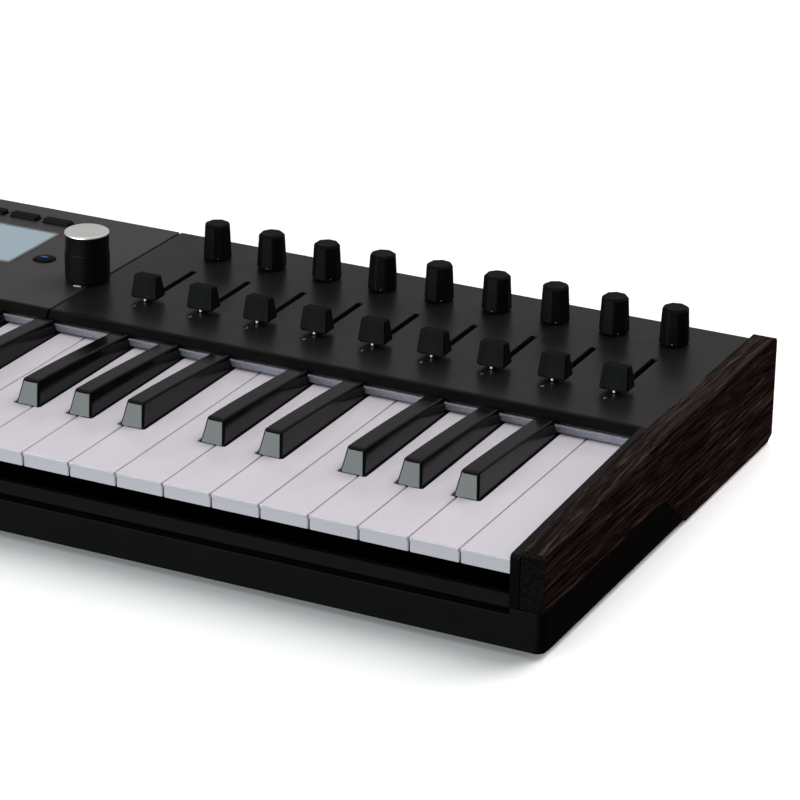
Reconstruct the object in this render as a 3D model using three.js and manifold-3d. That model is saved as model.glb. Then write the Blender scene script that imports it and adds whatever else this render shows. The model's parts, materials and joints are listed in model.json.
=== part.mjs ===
// A 49-key keyboard synthesizer, in millimetres. X runs along the keys (bass at -X), the player sits
// at -Y and +Z is up. The origin is on the table, under the middle of the body.
import * as THREE from 'three';
import { mergeVertices } from 'three/addons/utils/BufferGeometryUtils.js';
import Module from 'manifold-3d';

const wasm = await Module();
wasm.setup();

// ---- Driving dimensions ----------------------------------------------------------------------
const WIDTH = 795; // over the wood cheeks
const DEPTH = 264.5; // front ledge to rear plate
const GAP = 0.3; // between pieces that meet
const FOOT = 3; // height of the case above the table

// The top panel and what hangs from it.
const PANEL_TOP = 51.5;
const PANEL_THICK = 2.5;
const PANEL_FRONT = 4; // where the level panel ends and the keys begin
const LIP_BOTTOM = 46.6;
const RAIL_FRONT_TOP = 45.7; // the rails and cheeks slope down towards the player
const CHEEK_RISE = 1.9; // how far the cheeks stand above the rails
const CHEEK_THICK = 11;
const RAIL_WIDTH = 4.4;
const CASE_SHOULDER = 21.4; // top of the case's front corners, under the cheeks
const LEDGE_TOP = 18.4;
const SEAM_RIGHT = 77.6; // between the centre and right panels
const SEAM_LEFT = -119.3;

// The keys.
const KEY_PITCH = 23.5;
const KEY_WIDTH = 22.5;
const WHITE_KEYS = 29;
const KEY_TOP = 42.6;
const KEY_BOTTOM = 35.4;
const KEY_FRONT = -130.25;
const KEY_REAR = 19.5;
const KEY_TAIL = 11; // behind this the white keys are a thin hinge tail
const WHITE_TAIL_TOP = 38.4;
const BLACK_TAIL_BOTTOM = 39;
const BLACK_TAIL_TOP = 42.4;
const BLACK_WIDTH = 11.8;
const BLACK_TOP_WIDTH = 8.6;
const BLACK_FRONT = -82.6;
const BLACK_REAR = -1;
const BLACK_FRONT_TOP = 53.3;
const BLACK_REAR_TOP = 49;
const BLACK_CLEARANCE = 1;
// Each black key sits a little off the line between its two white keys: C#, D#, F#, G#, A#.
const BLACK_AFTER = { C: -2.4, D: 2.8, F: -3.6, G: 0.2, A: 3.8 };
const NOTE_NAMES = ['C', 'D', 'E', 'F', 'G', 'A', 'B'];
const LOWEST_OCTAVE = 2;
const COMB_OCTAVES = 3; // the lower octaves, whose keys are moulded in combs

// The controls.
const CHANNELS = 9;
const CHANNEL_PITCH = 30.5;
const FIRST_CHANNEL_X = 112.1;
const KNOB_Y = 106;
const KNOB_HEIGHT = 17.5;
const KNOB_TOP_RADIUS = 6.5;
const KNOB_BASE_RADIUS = 7.5;
const FADER_REST_Y = 37.75;
const FADER_TRAVEL = 42;
const FADER_BLADE = 5;
const SLOT_WIDTH = 3;
const CAP_BOTTOM = 53.2;
const CAP_TOP = 64.5;
const CAP_BASE = { width: 14.2, depth: 9.4 };
const CAP_CROWN = { width: 12.6, depth: 6 };
const ENCODER_X = 72;
const ENCODER_Y = 48.2;
const ENCODER_RADIUS = 11;
const ENCODER_HEIGHT = 25.2;
const SHAFT_RADIUS = 3;
const BUTTON_RISE = 1.8;
const BUTTON_MARGIN = 0.4; // round each button, and round the screen
const SCREEN = { x0: -65, x1: 26, y0: 49.75, y1: 97.75 };

// The wheels.
const WHEEL_RADIUS = 26;
const WHEEL_WIDTH = 12;
const WHEEL_Y = -66;
const WHEEL_Z = 32.5;
const PITCH_WHEEL_X = -362;
const MOD_WHEEL_X = -325;

// The sockets in the rear plate: a square port, two round ports and three jacks.
const SOCKET_Z = 27;
const SOCKET_DEPTH = 12;
const SOCKET_FLOOR = 1.5;
const USB = { x: -296, width: 12.2, height: 11 };
const DIN_SPOTS = [-258, -230];
const DIN_RADIUS = 7.6;
const JACK_SPOTS = [-200, -182, -164];
const JACK_RADIUS = 3.3;
const LOCK_SLOT = { x0: 354, x1: 361, half: 1.5 };

// ---- Derived places --------------------------------------------------------------------------
const RIGHT = WIDTH / 2;
const FRONT = -DEPTH / 2;
const REAR = DEPTH / 2;
const CASE_SIDE = RIGHT - CHEEK_THICK - GAP; // outer face of the rails and case walls
const RAIL_INNER = CASE_SIDE - RAIL_WIDTH;
const CASE_REAR = REAR - 3.2; // the rear plate covers it
const FLOOR_TOP = FOOT + 2.2;
const PANEL_UNDER = PANEL_TOP - PANEL_THICK;
const KEYS_RIGHT = RAIL_INNER - GAP;
const KEYS_LEFT = KEYS_RIGHT - WHITE_KEYS * KEY_PITCH;
const WHEEL_BAY_INNER = KEYS_LEFT - GAP;
const RAIL_SLOPE = (PANEL_TOP - RAIL_FRONT_TOP) / (PANEL_FRONT - FRONT);
const BOARD_Z = 34;
const BOARD_THICK = 1.6;
const BOARD_TOP = BOARD_Z + BOARD_THICK;
const WALL = 2.5; // thin walls of the case and of the left panel
const BEYOND = 80; // clears the tallest piece, for cutting tools
const ABOVE_KEYS = 60; // clears the keys, for cutting their notches

const channelX = (index) => FIRST_CHANNEL_X + index * CHANNEL_PITCH;
const railTop = (y) => Math.min(PANEL_TOP, RAIL_FRONT_TOP + (y - FRONT) * RAIL_SLOPE);

// ---- Solids ----------------------------------------------------------------------------------
// Coordinates are rounded to a thousandth, so that faces meant to be level are exactly level.
function solid(geometry) {
  const bare = geometry.clone();
  bare.deleteAttribute('normal');
  bare.deleteAttribute('uv');
  const merged = mergeVertices(bare, 1e-4);
  const exact = merged.attributes.position.array;
  const snapped = Float32Array.from(exact, (value) => Math.round(value * 1e3) / 1e3);
  return new wasm.Manifold(new wasm.Mesh({
    numProp: 3,
    vertProperties: snapped,
    triVerts: new Uint32Array(merged.index.array),
  }));
}

function geometryOf(manifold) {
  const mesh = manifold.getMesh();
  const geometry = new THREE.BufferGeometry();
  geometry.setAttribute('position', new THREE.BufferAttribute(new Float32Array(mesh.vertProperties), 3));
  geometry.setIndex(new THREE.BufferAttribute(new Uint32Array(mesh.triVerts), 1));
  geometry.computeVertexNormals();
  return geometry;
}

function block(x0, x1, y0, y1, z0, z1) {
  const box = new THREE.BoxGeometry(x1 - x0, y1 - y0, z1 - z0);
  box.translate((x0 + x1) / 2, (y0 + y1) / 2, (z0 + z1) / 2);
  return solid(box);
}

function extruded(points, depth) {
  const shape = new THREE.Shape(points.map(([a, b]) => new THREE.Vector2(a, b)));
  return new THREE.ExtrudeGeometry(shape, { depth, bevelEnabled: false });
}

// An outline in (y, z), extruded from x0 to x1.
function prismX(points, x0, x1) {
  const geometry = extruded(points, x1 - x0);
  const along = new THREE.Vector3(1, 0, 0);
  const back = new THREE.Vector3(0, 1, 0);
  const up = new THREE.Vector3(0, 0, 1);
  geometry.applyMatrix4(new THREE.Matrix4().makeBasis(back, up, along));
  geometry.translate(x0, 0, 0);
  return solid(geometry);
}

// An outline in (x, z), extruded from y0 to y1.
function prismY(points, y0, y1) {
  const geometry = extruded(points, y1 - y0);
  geometry.rotateX(Math.PI / 2);
  geometry.translate(0, y1, 0);
  return solid(geometry);
}

// An outline in (x, y), extruded from z0 to z1.
function prismZ(points, z0, z1) {
  const geometry = extruded(points, z1 - z0);
  geometry.translate(0, 0, z0);
  return solid(geometry);
}

function post(x, y, z0, z1, radius, sides = 12, topRadius = radius) {
  const cylinder = new THREE.CylinderGeometry(topRadius, radius, z1 - z0, sides);
  cylinder.rotateX(Math.PI / 2);
  cylinder.translate(x, y, (z0 + z1) / 2);
  return solid(cylinder);
}

function axleX(x0, x1, y, z, radius, sides = 12) {
  const cylinder = new THREE.CylinderGeometry(radius, radius, x1 - x0, sides);
  cylinder.rotateZ(Math.PI / 2);
  cylinder.translate((x0 + x1) / 2, y, z);
  return solid(cylinder);
}

function drillY(x, z, y0, y1, radius, sides = 16) {
  const cylinder = new THREE.CylinderGeometry(radius, radius, y1 - y0, sides);
  cylinder.translate(x, (y0 + y1) / 2, z);
  return solid(cylinder);
}

const join = (parts) => parts.reduce((whole, part) => whole.add(part));
const cut = (whole, tools) => tools.reduce((rest, tool) => rest.subtract(tool), whole);

// ---- Materials and assembly ------------------------------------------------------------------
const colours = {
  case: { color: 0x161616, roughness: 0.55, metalness: 0 },
  panel_right: { color: 0x393738, roughness: 0.6, metalness: 0 },
  panel_centre: { color: 0x4a4748, roughness: 0.6, metalness: 0 },
  wood: { color: 0x2c1f1a, roughness: 0.6, metalness: 0 },
  white_key: { color: 0xe6e4e2, roughness: 0.3, metalness: 0 },
  black_key: { color: 0x101010, roughness: 0.15, metalness: 0 },
  control: { color: 0x131313, roughness: 0.5, metalness: 0 },
  wheel: { color: 0x1b1b1c, roughness: 0.6, metalness: 0 },
  pad: { color: 0x323234, roughness: 0.6, metalness: 0 },
  lens: { color: 0x9fb4c0, roughness: 0.1, metalness: 0 },
  felt: { color: 0x9a97a6, roughness: 1, metalness: 0 },
  board: { color: 0x1e4a2e, roughness: 0.5, metalness: 0 },
  display: { color: 0x23282b, roughness: 0.4, metalness: 0.2 },
  rubber: { color: 0x1a1a1a, roughness: 0.9, metalness: 0 },
  frame: { color: 0x2a2b2d, roughness: 0.7, metalness: 0 },
};

const synthesizer = new THREE.Group();

function addPiece(name, manifold, colour, place = [0, 0, 0]) {
  const mesh = new THREE.Mesh(geometryOf(manifold), new THREE.MeshStandardMaterial(colours[colour]));
  mesh.name = name;
  mesh.position.set(...place);
  synthesizer.add(mesh);
}

// A tall block over one end of the body, with its front outer corner rounded.
function roundedEnd(side, front, radius) {
  const inner = CASE_SIDE - 5;
  const rear = REAR + 10;
  const points = [[side * inner, front], [side * inner, rear], [side * RIGHT, rear]];
  const steps = 6;
  for (let step = 0; step <= steps; step += 1) {
    const angle = (Math.PI / 2) * (step / steps);
    const x = RIGHT - radius + radius * Math.cos(angle);
    points.push([side * x, front + radius - radius * Math.sin(angle)]);
  }
  return prismZ(points, -1, BEYOND);
}

// ---- Lower case ------------------------------------------------------------------------------
const CORNER_TOP_Y = -2.3; // the flared front corners end in a slant under the cheeks
const CORNER_BOTTOM_Y = 20.7;
const FRONT_WALL = 6;
const CORNER_RADIUS = 4;
const BOSS_RADIUS = 4;
const BOSS_SPOTS = [60, 118].flatMap((y) => [-280, -60, 95, 340].map((x) => [x, y]));
const SCREW_RADIUS = 1.4;
const SCREW_DEPTH = 12;
const SOCKET_WINDOW = { x0: -314, x1: -146, z0: 10, z1: 42 };

function makeLowerCase() {
  const corner = [
    [FRONT, FOOT], [CORNER_BOTTOM_Y, FOOT], [CORNER_TOP_Y, CASE_SHOULDER], [FRONT, CASE_SHOULDER],
  ];
  const flare = (side) => prismX(corner, side < 0 ? -RIGHT : CASE_SIDE, side < 0 ? -CASE_SIDE : RIGHT)
    .intersect(roundedEnd(side, FRONT, CORNER_RADIUS));
  const body = join([
    block(-CASE_SIDE, CASE_SIDE, FRONT, CASE_REAR, FOOT, FLOOR_TOP),
    block(KEYS_LEFT - 1, KEYS_RIGHT + 1, FRONT, FRONT + FRONT_WALL, FOOT, LEDGE_TOP),
    block(-CASE_SIDE, WHEEL_BAY_INNER, FRONT, FRONT + FRONT_WALL, FOOT, CASE_SHOULDER),
    block(KEYS_RIGHT + GAP, CASE_SIDE, FRONT, FRONT + FRONT_WALL, FOOT, CASE_SHOULDER),
    block(-CASE_SIDE, WALL - CASE_SIDE, FRONT, CASE_REAR, FOOT, CASE_SHOULDER),
    block(CASE_SIDE - WALL, CASE_SIDE, FRONT, CASE_REAR, FOOT, CASE_SHOULDER),
    block(-CASE_SIDE, CASE_SIDE, CASE_REAR - WALL, CASE_REAR, FOOT, PANEL_UNDER - GAP),
    flare(1),
    flare(-1),
    ...BOSS_SPOTS.map(([x, y]) => post(x, y, FOOT, BOARD_Z - GAP, BOSS_RADIUS, 10)),
  ]);
  const { x0, x1, z0, z1 } = SOCKET_WINDOW;
  const screwFloor = BOARD_Z - SCREW_DEPTH;
  return cut(body, [
    block(x0, x1, CASE_REAR - 4, CASE_REAR + 1, z0, z1),
    ...BOSS_SPOTS.map(([x, y]) => post(x, y, screwFloor, BOARD_Z + 1, SCREW_RADIUS, 6)),
  ]);
}

// ---- Rear plate with its sockets --------------------------------------------------------------
function makeRearPlate() {
  const inside = CASE_REAR - SOCKET_DEPTH;
  const usbHalf = USB.width / 2;
  const usbLow = SOCKET_Z - USB.height / 2;
  const usbHigh = SOCKET_Z + USB.height / 2;
  const body = join([
    block(-CASE_SIDE, CASE_SIDE, CASE_REAR + GAP, REAR, 6, PANEL_TOP - 2),
    block(USB.x - usbHalf - 1.5, USB.x + usbHalf + 1.5, inside, REAR, usbLow - 1.5, usbHigh + 1.5),
    ...DIN_SPOTS.map((x) => drillY(x, SOCKET_Z, inside, REAR, DIN_RADIUS + 1.8, 20)),
    ...JACK_SPOTS.map((x) => drillY(x, SOCKET_Z, inside, REAR, JACK_RADIUS + 2.7, 16)),
  ]);
  const floor = inside + SOCKET_FLOOR;
  const { x0, x1, half } = LOCK_SLOT;
  return cut(body, [
    block(USB.x - usbHalf, USB.x + usbHalf, floor, REAR + 1, usbLow, usbHigh),
    ...DIN_SPOTS.map((x) => drillY(x, SOCKET_Z, floor, REAR + 1, DIN_RADIUS, 20)),
    ...JACK_SPOTS.map((x) => drillY(x, SOCKET_Z, inside - 1, REAR + 1, JACK_RADIUS, 16)),
    block(x0, x1, CASE_REAR - 1, REAR + 1, SOCKET_Z - half, SOCKET_Z + half),
  ]);
}

// ---- Wood cheeks -----------------------------------------------------------------------------
function makeCheek(side) {
  const foot = FOOT - 1.5;
  const outline = [
    [FRONT + 0.3, CASE_SHOULDER + GAP],
    [CORNER_TOP_Y + 0.15, CASE_SHOULDER + GAP],
    [CORNER_BOTTOM_Y + GAP + 2.3, foot + 0.3],
    [REAR - 5, foot],
    [REAR, foot + 2.5],
    [REAR, PANEL_TOP + CHEEK_RISE - 3],
    [REAR - 1, PANEL_TOP + CHEEK_RISE - 0.9],
    [REAR - 3, PANEL_TOP + CHEEK_RISE],
    [PANEL_FRONT - 8, PANEL_TOP + CHEEK_RISE],
    [FRONT + 2.5, RAIL_FRONT_TOP + CHEEK_RISE],
    [FRONT + 0.8, RAIL_FRONT_TOP + CHEEK_RISE - 0.9],
    [FRONT + 0.3, RAIL_FRONT_TOP + CHEEK_RISE - 2.5],
  ];
  const inner = RIGHT - CHEEK_THICK;
  const board = prismX(outline, side < 0 ? -RIGHT : inner, side < 0 ? -inner : RIGHT);
  return board.intersect(roundedEnd(side, FRONT + 0.3, 3.5));
}

// ---- Top panels ------------------------------------------------------------------------------
function panelLip(x0, x1) {
  return prismX([
    [PANEL_FRONT, PANEL_TOP],
    [PANEL_FRONT - 3.4, LIP_BOTTOM],
    [PANEL_FRONT - 0.8, LIP_BOTTOM],
    [PANEL_FRONT + 2.5, PANEL_UNDER],
    [PANEL_FRONT + 2.5, PANEL_TOP],
  ], x0, x1);
}

function panelRail(x0, x1) {
  return prismX([
    [FRONT, CASE_SHOULDER + GAP],
    [CASE_REAR - 2.8, CASE_SHOULDER + GAP],
    [CASE_REAR - 2.8, PANEL_TOP],
    [PANEL_FRONT, PANEL_TOP],
    [FRONT + 1.2, railTop(FRONT + 1.2)],
    [FRONT, RAIL_FRONT_TOP - 1.2],
  ], x0, x1);
}

function panelPlate(x0, x1) {
  return join([
    block(x0, x1, PANEL_FRONT, CASE_REAR, PANEL_UNDER, PANEL_TOP),
    panelLip(x0, x1),
  ]);
}

function makePanelRight() {
  const slotFront = FADER_REST_Y - FADER_BLADE / 2 - 1;
  const slotRear = FADER_REST_Y + FADER_TRAVEL + FADER_BLADE / 2 + 1;
  const half = SLOT_WIDTH / 2;
  const low = PANEL_UNDER - 1;
  const high = PANEL_TOP + 1;
  const openings = [];
  for (let index = 0; index < CHANNELS; index += 1) {
    const x = channelX(index);
    openings.push(post(x, KNOB_Y, low, high, SHAFT_RADIUS + 0.6, 12));
    openings.push(block(x - half, x + half, slotFront, slotRear, low, high));
  }
  const body = join([
    panelPlate(SEAM_RIGHT + GAP / 2, CASE_SIDE),
    panelRail(RAIL_INNER, CASE_SIDE),
  ]);
  return cut(body, openings);
}

// The centre panel's small rectangular buttons: a row above the screen and a column beside it.
const ROW_BUTTONS = [-42.2, -22.7, -3.2, 16.3].map((x) => ({ x, y: 111.25, width: 15.9, depth: 5.5 }));
const COLUMN_BUTTONS = [56, 73.5, 91].map((y) => ({ x: -92, y, width: 22, depth: 8 }));
const SCREEN_BUTTONS = [...ROW_BUTTONS, ...COLUMN_BUTTONS];
const ROUND_BUTTON = { x: 38.4, y: 62.5, radius: 5.3 };
const TRANSPORT_BUTTONS = [38, 66, 94].flatMap((y) => (
  [-362, -334].map((x) => ({ x, y, width: 20, depth: 10 }))
));
const PADS = [34, 66, 98].flatMap((y) => (
  [-272, -240, -208, -176].map((x) => ({ x, y, width: 26, depth: 26 }))
));

function buttonBlock(button, margin, z0, z1) {
  const halfWidth = button.width / 2 + margin;
  const halfDepth = button.depth / 2 + margin;
  const { x, y } = button;
  return block(x - halfWidth, x + halfWidth, y - halfDepth, y + halfDepth, z0, z1);
}

const buttonWindows = (buttons) => (
  buttons.map((button) => buttonBlock(button, BUTTON_MARGIN, PANEL_UNDER - 1, PANEL_TOP + 1))
);

function makePanelCentre() {
  const { x0, x1, y0, y1 } = SCREEN;
  const margin = BUTTON_MARGIN;
  return cut(panelPlate(SEAM_LEFT + GAP / 2, SEAM_RIGHT - GAP / 2), [
    block(x0 - margin, x1 + margin, y0 - margin, y1 + margin, 0, BEYOND),
    post(ENCODER_X, ENCODER_Y, 0, BEYOND, SHAFT_RADIUS + 0.8, 12),
    post(ROUND_BUTTON.x, ROUND_BUTTON.y, 0, BEYOND, ROUND_BUTTON.radius + margin, 24),
    ...buttonWindows(SCREEN_BUTTONS),
  ]);
}

function makePanelLeft() {
  const foot = CASE_SHOULDER + GAP;
  const edge = SEAM_LEFT - GAP / 2;
  const slope = [
    [FRONT, foot], [PANEL_FRONT + 1, foot], [PANEL_FRONT + 1, PANEL_TOP],
    [PANEL_FRONT, PANEL_TOP], [FRONT + 1.2, railTop(FRONT + 1.2)], [FRONT, RAIL_FRONT_TOP - 1.2],
  ];
  const hollow = [
    [FRONT + WALL, foot - 1], [PANEL_FRONT + 2, foot - 1], [PANEL_FRONT + 2, PANEL_UNDER],
    [PANEL_FRONT, PANEL_UNDER], [FRONT + WALL, railTop(FRONT + WALL) - PANEL_THICK],
  ];
  const bay = prismX(slope, -CASE_SIDE, WHEEL_BAY_INNER)
    .subtract(prismX(hollow, -CASE_SIDE + WALL, WHEEL_BAY_INNER - WALL));
  const body = join([
    bay,
    block(-CASE_SIDE, edge, PANEL_FRONT, CASE_REAR, PANEL_UNDER, PANEL_TOP),
    panelLip(WHEEL_BAY_INNER - 1, edge),
    block(-CASE_SIDE, -RAIL_INNER, PANEL_FRONT, CASE_REAR - 2.8, foot, PANEL_UNDER + 1),
  ]);
  const sink = railTop(WHEEL_Y) - PANEL_THICK - WHEEL_Z; // from the axle to the slot's lower rim
  const reach = Math.sqrt(WHEEL_RADIUS ** 2 - sink ** 2) + 1.5;
  const half = WHEEL_WIDTH / 2 + 1;
  const wheelSlots = [PITCH_WHEEL_X, MOD_WHEEL_X].map((x) => (
    block(x - half, x + half, WHEEL_Y - reach, WHEEL_Y + reach, 40, BEYOND)
  ));
  return cut(body, [...wheelSlots, ...buttonWindows(TRANSPORT_BUTTONS), ...buttonWindows(PADS)]);
}

// ---- Buttons and pads: each group is one silicone moulding ------------------------------------
const SCREEN_SHEETS = [[-108, 30, 103, 118], [-108, -76, 48, 104]];
const TRANSPORT_SHEETS = [[-376, -320, 30, 102]];
const PAD_SHEETS = [[-290, -158, 16, 116]];
const MAT_LOW = PANEL_UNDER - 2;
const MAT_HIGH = PANEL_UNDER - 0.6;

function makeMat(buttons, sheets) {
  return join([
    ...sheets.map(([x0, x1, y0, y1]) => block(x0, x1, y0, y1, MAT_LOW, MAT_HIGH)),
    ...buttons.map((button) => buttonBlock(button, 0, MAT_LOW, PANEL_TOP + BUTTON_RISE)),
  ]);
}

function makeRoundButton() {
  const { radius } = ROUND_BUTTON;
  const flange = PANEL_UNDER - 0.5;
  const shoulder = PANEL_TOP + 0.6;
  const crown = 0.6;
  return join([
    post(0, 0, flange - 4.5, flange - 0.4, 2, 12),
    post(0, 0, flange - 1.7, flange, radius + 1.4, 20),
    post(0, 0, flange, shoulder, radius, 24),
    post(0, 0, shoulder, shoulder + crown, radius, 24, radius - 2 * crown),
  ]);
}

// ---- Knobs, encoder and faders ----------------------------------------------------------------
const KNOB_FLOOR = PANEL_TOP + 0.5;
const SHAFT_TOP = KNOB_FLOOR + 9;

function makeKnob() {
  const chamfer = 1;
  const top = KNOB_FLOOR + KNOB_HEIGHT;
  return cut(join([
    post(0, 0, KNOB_FLOOR, top - chamfer, KNOB_BASE_RADIUS, 8, KNOB_TOP_RADIUS),
    post(0, 0, top - chamfer, top, KNOB_TOP_RADIUS, 8, KNOB_TOP_RADIUS - chamfer),
  ]), [post(0, 0, KNOB_FLOOR - 1, SHAFT_TOP + GAP, SHAFT_RADIUS + GAP, 12)]);
}

function makeEncoder() {
  const skirt = PANEL_TOP + ENCODER_HEIGHT / 2;
  const top = PANEL_TOP + ENCODER_HEIGHT;
  const r = ENCODER_RADIUS;
  const profile = [
    [0, KNOB_FLOOR], [r - 0.4, KNOB_FLOOR], [r, KNOB_FLOOR + 0.6], [r, skirt - 0.6], [r - 0.5, skirt],
    [r - 0.5, skirt + 0.6], [r, skirt + 1.2], [r - 0.2, top - 0.6], [r - 0.8, top], [0, top],
  ].map(([x, y]) => new THREE.Vector2(x, y));
  const body = new THREE.LatheGeometry(profile, 40);
  body.rotateX(Math.PI / 2);
  return solid(body).subtract(post(0, 0, KNOB_FLOOR - 1, SHAFT_TOP + GAP, SHAFT_RADIUS + GAP, 12));
}

const FADER_BODY_TOP = BOARD_Z + 9.8;
const FADER_BLADE_THICK = 2.2;

function makeFader() {
  const taper = (base, crown) => [
    [-base / 2, CAP_BOTTOM], [base / 2, CAP_BOTTOM], [crown / 2, CAP_TOP], [-crown / 2, CAP_TOP],
  ];
  const cap = prismX(taper(CAP_BASE.depth, CAP_CROWN.depth), -CAP_BASE.width, CAP_BASE.width)
    .intersect(prismY(taper(CAP_BASE.width, CAP_CROWN.width), -CAP_BASE.depth, CAP_BASE.depth));
  const half = FADER_BLADE / 2;
  const thick = FADER_BLADE_THICK / 2;
  return join([cap, block(-thick, thick, -half, half, FADER_BODY_TOP + 0.7, CAP_BOTTOM + 1)]);
}

// ---- Control board: the pots, fader bodies and encoder body stand on it -----------------------
const POT = { half: 5.5, height: 7 };
const FADER_BODY = { half: 4.5, margin: 5 };

function makeControlBoard() {
  const parts = [block(-115, 380, 30.5, 124, BOARD_Z, BOARD_TOP)];
  const shaftSpots = [[ENCODER_X, ENCODER_Y]];
  const front = FADER_REST_Y - FADER_BODY.margin;
  const rear = FADER_REST_Y + FADER_TRAVEL + FADER_BODY.margin;
  for (let index = 0; index < CHANNELS; index += 1) {
    const x = channelX(index);
    shaftSpots.push([x, KNOB_Y]);
    parts.push(block(x - FADER_BODY.half, x + FADER_BODY.half, front, rear, BOARD_TOP, FADER_BODY_TOP));
  }
  const potTop = BOARD_TOP + POT.height;
  for (const [x, y] of shaftSpots) {
    parts.push(block(x - POT.half, x + POT.half, y - POT.half, y + POT.half, BOARD_TOP, potTop));
    parts.push(post(x, y, potTop, SHAFT_TOP, SHAFT_RADIUS, 12));
  }
  return join(parts);
}

// ---- Keys ------------------------------------------------------------------------------------
const BLACK_BOTTOM = 36;
const BLACK_LEAN = 3.6; // how far the front of a black key slopes back
const PLUNGER = { y0: -60, y1: -52, bottom: 28.5 }; // presses the rubber contact under each key
const PLUNGER_BLACK_HALF = 2.5;
const PLUNGER_WHITE_INSET = 9;

const whiteLeft = (index) => KEYS_LEFT + index * KEY_PITCH + (KEY_PITCH - KEY_WIDTH) / 2;
const noteOf = (index) => NOTE_NAMES[index % 7];
const blackCentre = (index) => KEYS_LEFT + (index + 1) * KEY_PITCH + BLACK_AFTER[noteOf(index)];
const hasBlack = (index) => index >= 0 && index < WHITE_KEYS - 1 && noteOf(index) in BLACK_AFTER;

function makeWhiteKey(index) {
  const left = whiteLeft(index);
  const right = left + KEY_WIDTH;
  const lip = 1;
  const side = [
    [KEY_FRONT, KEY_BOTTOM], [KEY_REAR, KEY_BOTTOM], [KEY_REAR, WHITE_TAIL_TOP],
    [KEY_TAIL, WHITE_TAIL_TOP], [KEY_TAIL, KEY_TOP], [KEY_FRONT + lip, KEY_TOP],
    [KEY_FRONT, KEY_TOP - lip],
  ];
  const { y0, y1, bottom } = PLUNGER;
  const inset = PLUNGER_WHITE_INSET;
  const plunger = block(left + inset, right - inset, y0, y1, bottom, KEY_BOTTOM + 1);
  const half = BLACK_WIDTH / 2 + BLACK_CLEARANCE;
  const cutFront = BLACK_FRONT - BLACK_CLEARANCE;
  const notches = [index - 1, index].filter(hasBlack).map((neighbour) => {
    const centre = blackCentre(neighbour);
    return block(centre - half, centre + half, cutFront, KEY_TAIL + 0.5, 0, ABOVE_KEYS);
  });
  return cut(join([prismX(side, left, right), plunger]), notches);
}

function makeBlackKey(index) {
  const x = blackCentre(index);
  const side = [
    [BLACK_FRONT, BLACK_BOTTOM], [KEY_TAIL - 1, BLACK_BOTTOM], [KEY_TAIL - 1, BLACK_TAIL_BOTTOM],
    [KEY_REAR, BLACK_TAIL_BOTTOM], [KEY_REAR, BLACK_TAIL_TOP], [BLACK_REAR, BLACK_TAIL_TOP],
    [BLACK_REAR, BLACK_REAR_TOP], [BLACK_FRONT + BLACK_LEAN, BLACK_FRONT_TOP], [BLACK_FRONT, KEY_TOP],
  ];
  const wide = BLACK_WIDTH / 2;
  const narrow = BLACK_TOP_WIDTH / 2;
  const section = [
    [x - wide, 0], [x + wide, 0], [x + wide, KEY_TOP], [x + narrow, BLACK_FRONT_TOP],
    [x - narrow, BLACK_FRONT_TOP], [x - wide, KEY_TOP],
  ];
  const body = prismX(side, x - wide, x + wide)
    .intersect(prismY(section, BLACK_FRONT - 1, KEY_REAR + 1));
  const { y0, y1, bottom } = PLUNGER;
  const half = PLUNGER_BLACK_HALF;
  return join([body, block(x - half, x + half, y0, y1, bottom, BLACK_BOTTOM + 1)]);
}

// A comb is an octave of keys on one moulded hinge bar.
function makeWhiteComb(octave) {
  const first = octave * 7;
  const keys = NOTE_NAMES.map((_, step) => makeWhiteKey(first + step));
  const x0 = whiteLeft(first);
  const x1 = whiteLeft(first + 6) + KEY_WIDTH;
  return join([...keys, block(x0, x1, KEY_TAIL + 2, KEY_REAR, KEY_BOTTOM, WHITE_TAIL_TOP)]);
}

function makeBlackComb(octave) {
  const first = octave * 7;
  const steps = [0, 1, 3, 4, 5];
  const keys = steps.map((step) => makeBlackKey(first + step));
  const x0 = blackCentre(first) - BLACK_WIDTH / 2;
  const x1 = blackCentre(first + 5) + BLACK_WIDTH / 2;
  return join([...keys, block(x0, x1, KEY_TAIL + 1, KEY_REAR, BLACK_TAIL_BOTTOM, BLACK_TAIL_TOP)]);
}

// ---- Key frame, contact board and felt --------------------------------------------------------
const FRAME_LOW = 9;
const FRAME_TOP = 11.5;
const FRAME_REAR = 28;
const FRAME_SPANS = 6; // between its ribs
const RIB_WIDTH = 4;
const CONTACT_Z = 17;
const CONTACT_THICK = 1.6;
const CONTACT_RUBBER_TOP = 22;

function makeKeyFrame() {
  const left = KEYS_LEFT + 1;
  const right = KEYS_RIGHT - 1;
  const front = FRONT + FRONT_WALL + GAP;
  const span = (right - left - 2 * RIB_WIDTH) / FRAME_SPANS;
  const ribs = [];
  for (let index = 0; index <= FRAME_SPANS; index += 1) {
    const x = left + RIB_WIDTH / 2 + span * index;
    ribs.push(block(x, x + RIB_WIDTH, front, FRAME_REAR, FRAME_TOP - 1, CONTACT_Z - GAP));
    ribs.push(block(x, x + RIB_WIDTH, front, FRAME_REAR, FLOOR_TOP + GAP, FRAME_LOW + 1));
  }
  return join([
    block(left, right, front, FRAME_REAR, FRAME_LOW, FRAME_TOP),
    block(left, right, front, front + 3, FRAME_LOW, 24.5),
    block(left, right, KEY_REAR + 0.9, FRAME_REAR, FRAME_LOW, 43),
    ...ribs,
  ]);
}

function makeContactBoard() {
  const left = KEYS_LEFT + 4;
  const right = KEYS_RIGHT - 4;
  const top = CONTACT_Z + CONTACT_THICK;
  return join([
    block(left, right, -76, -30, CONTACT_Z, top),
    block(left + 3, right - 3, PLUNGER.y0 - 1, PLUNGER.y1 + 1, top, CONTACT_RUBBER_TOP),
  ]);
}

function makeFelt() {
  const low = KEY_TOP + 0.4;
  const high = LIP_BOTTOM - GAP;
  return block(KEYS_LEFT + 0.5, KEYS_RIGHT - 0.5, BLACK_REAR + 0.6, PANEL_FRONT - 1.2, low, high);
}

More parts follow.
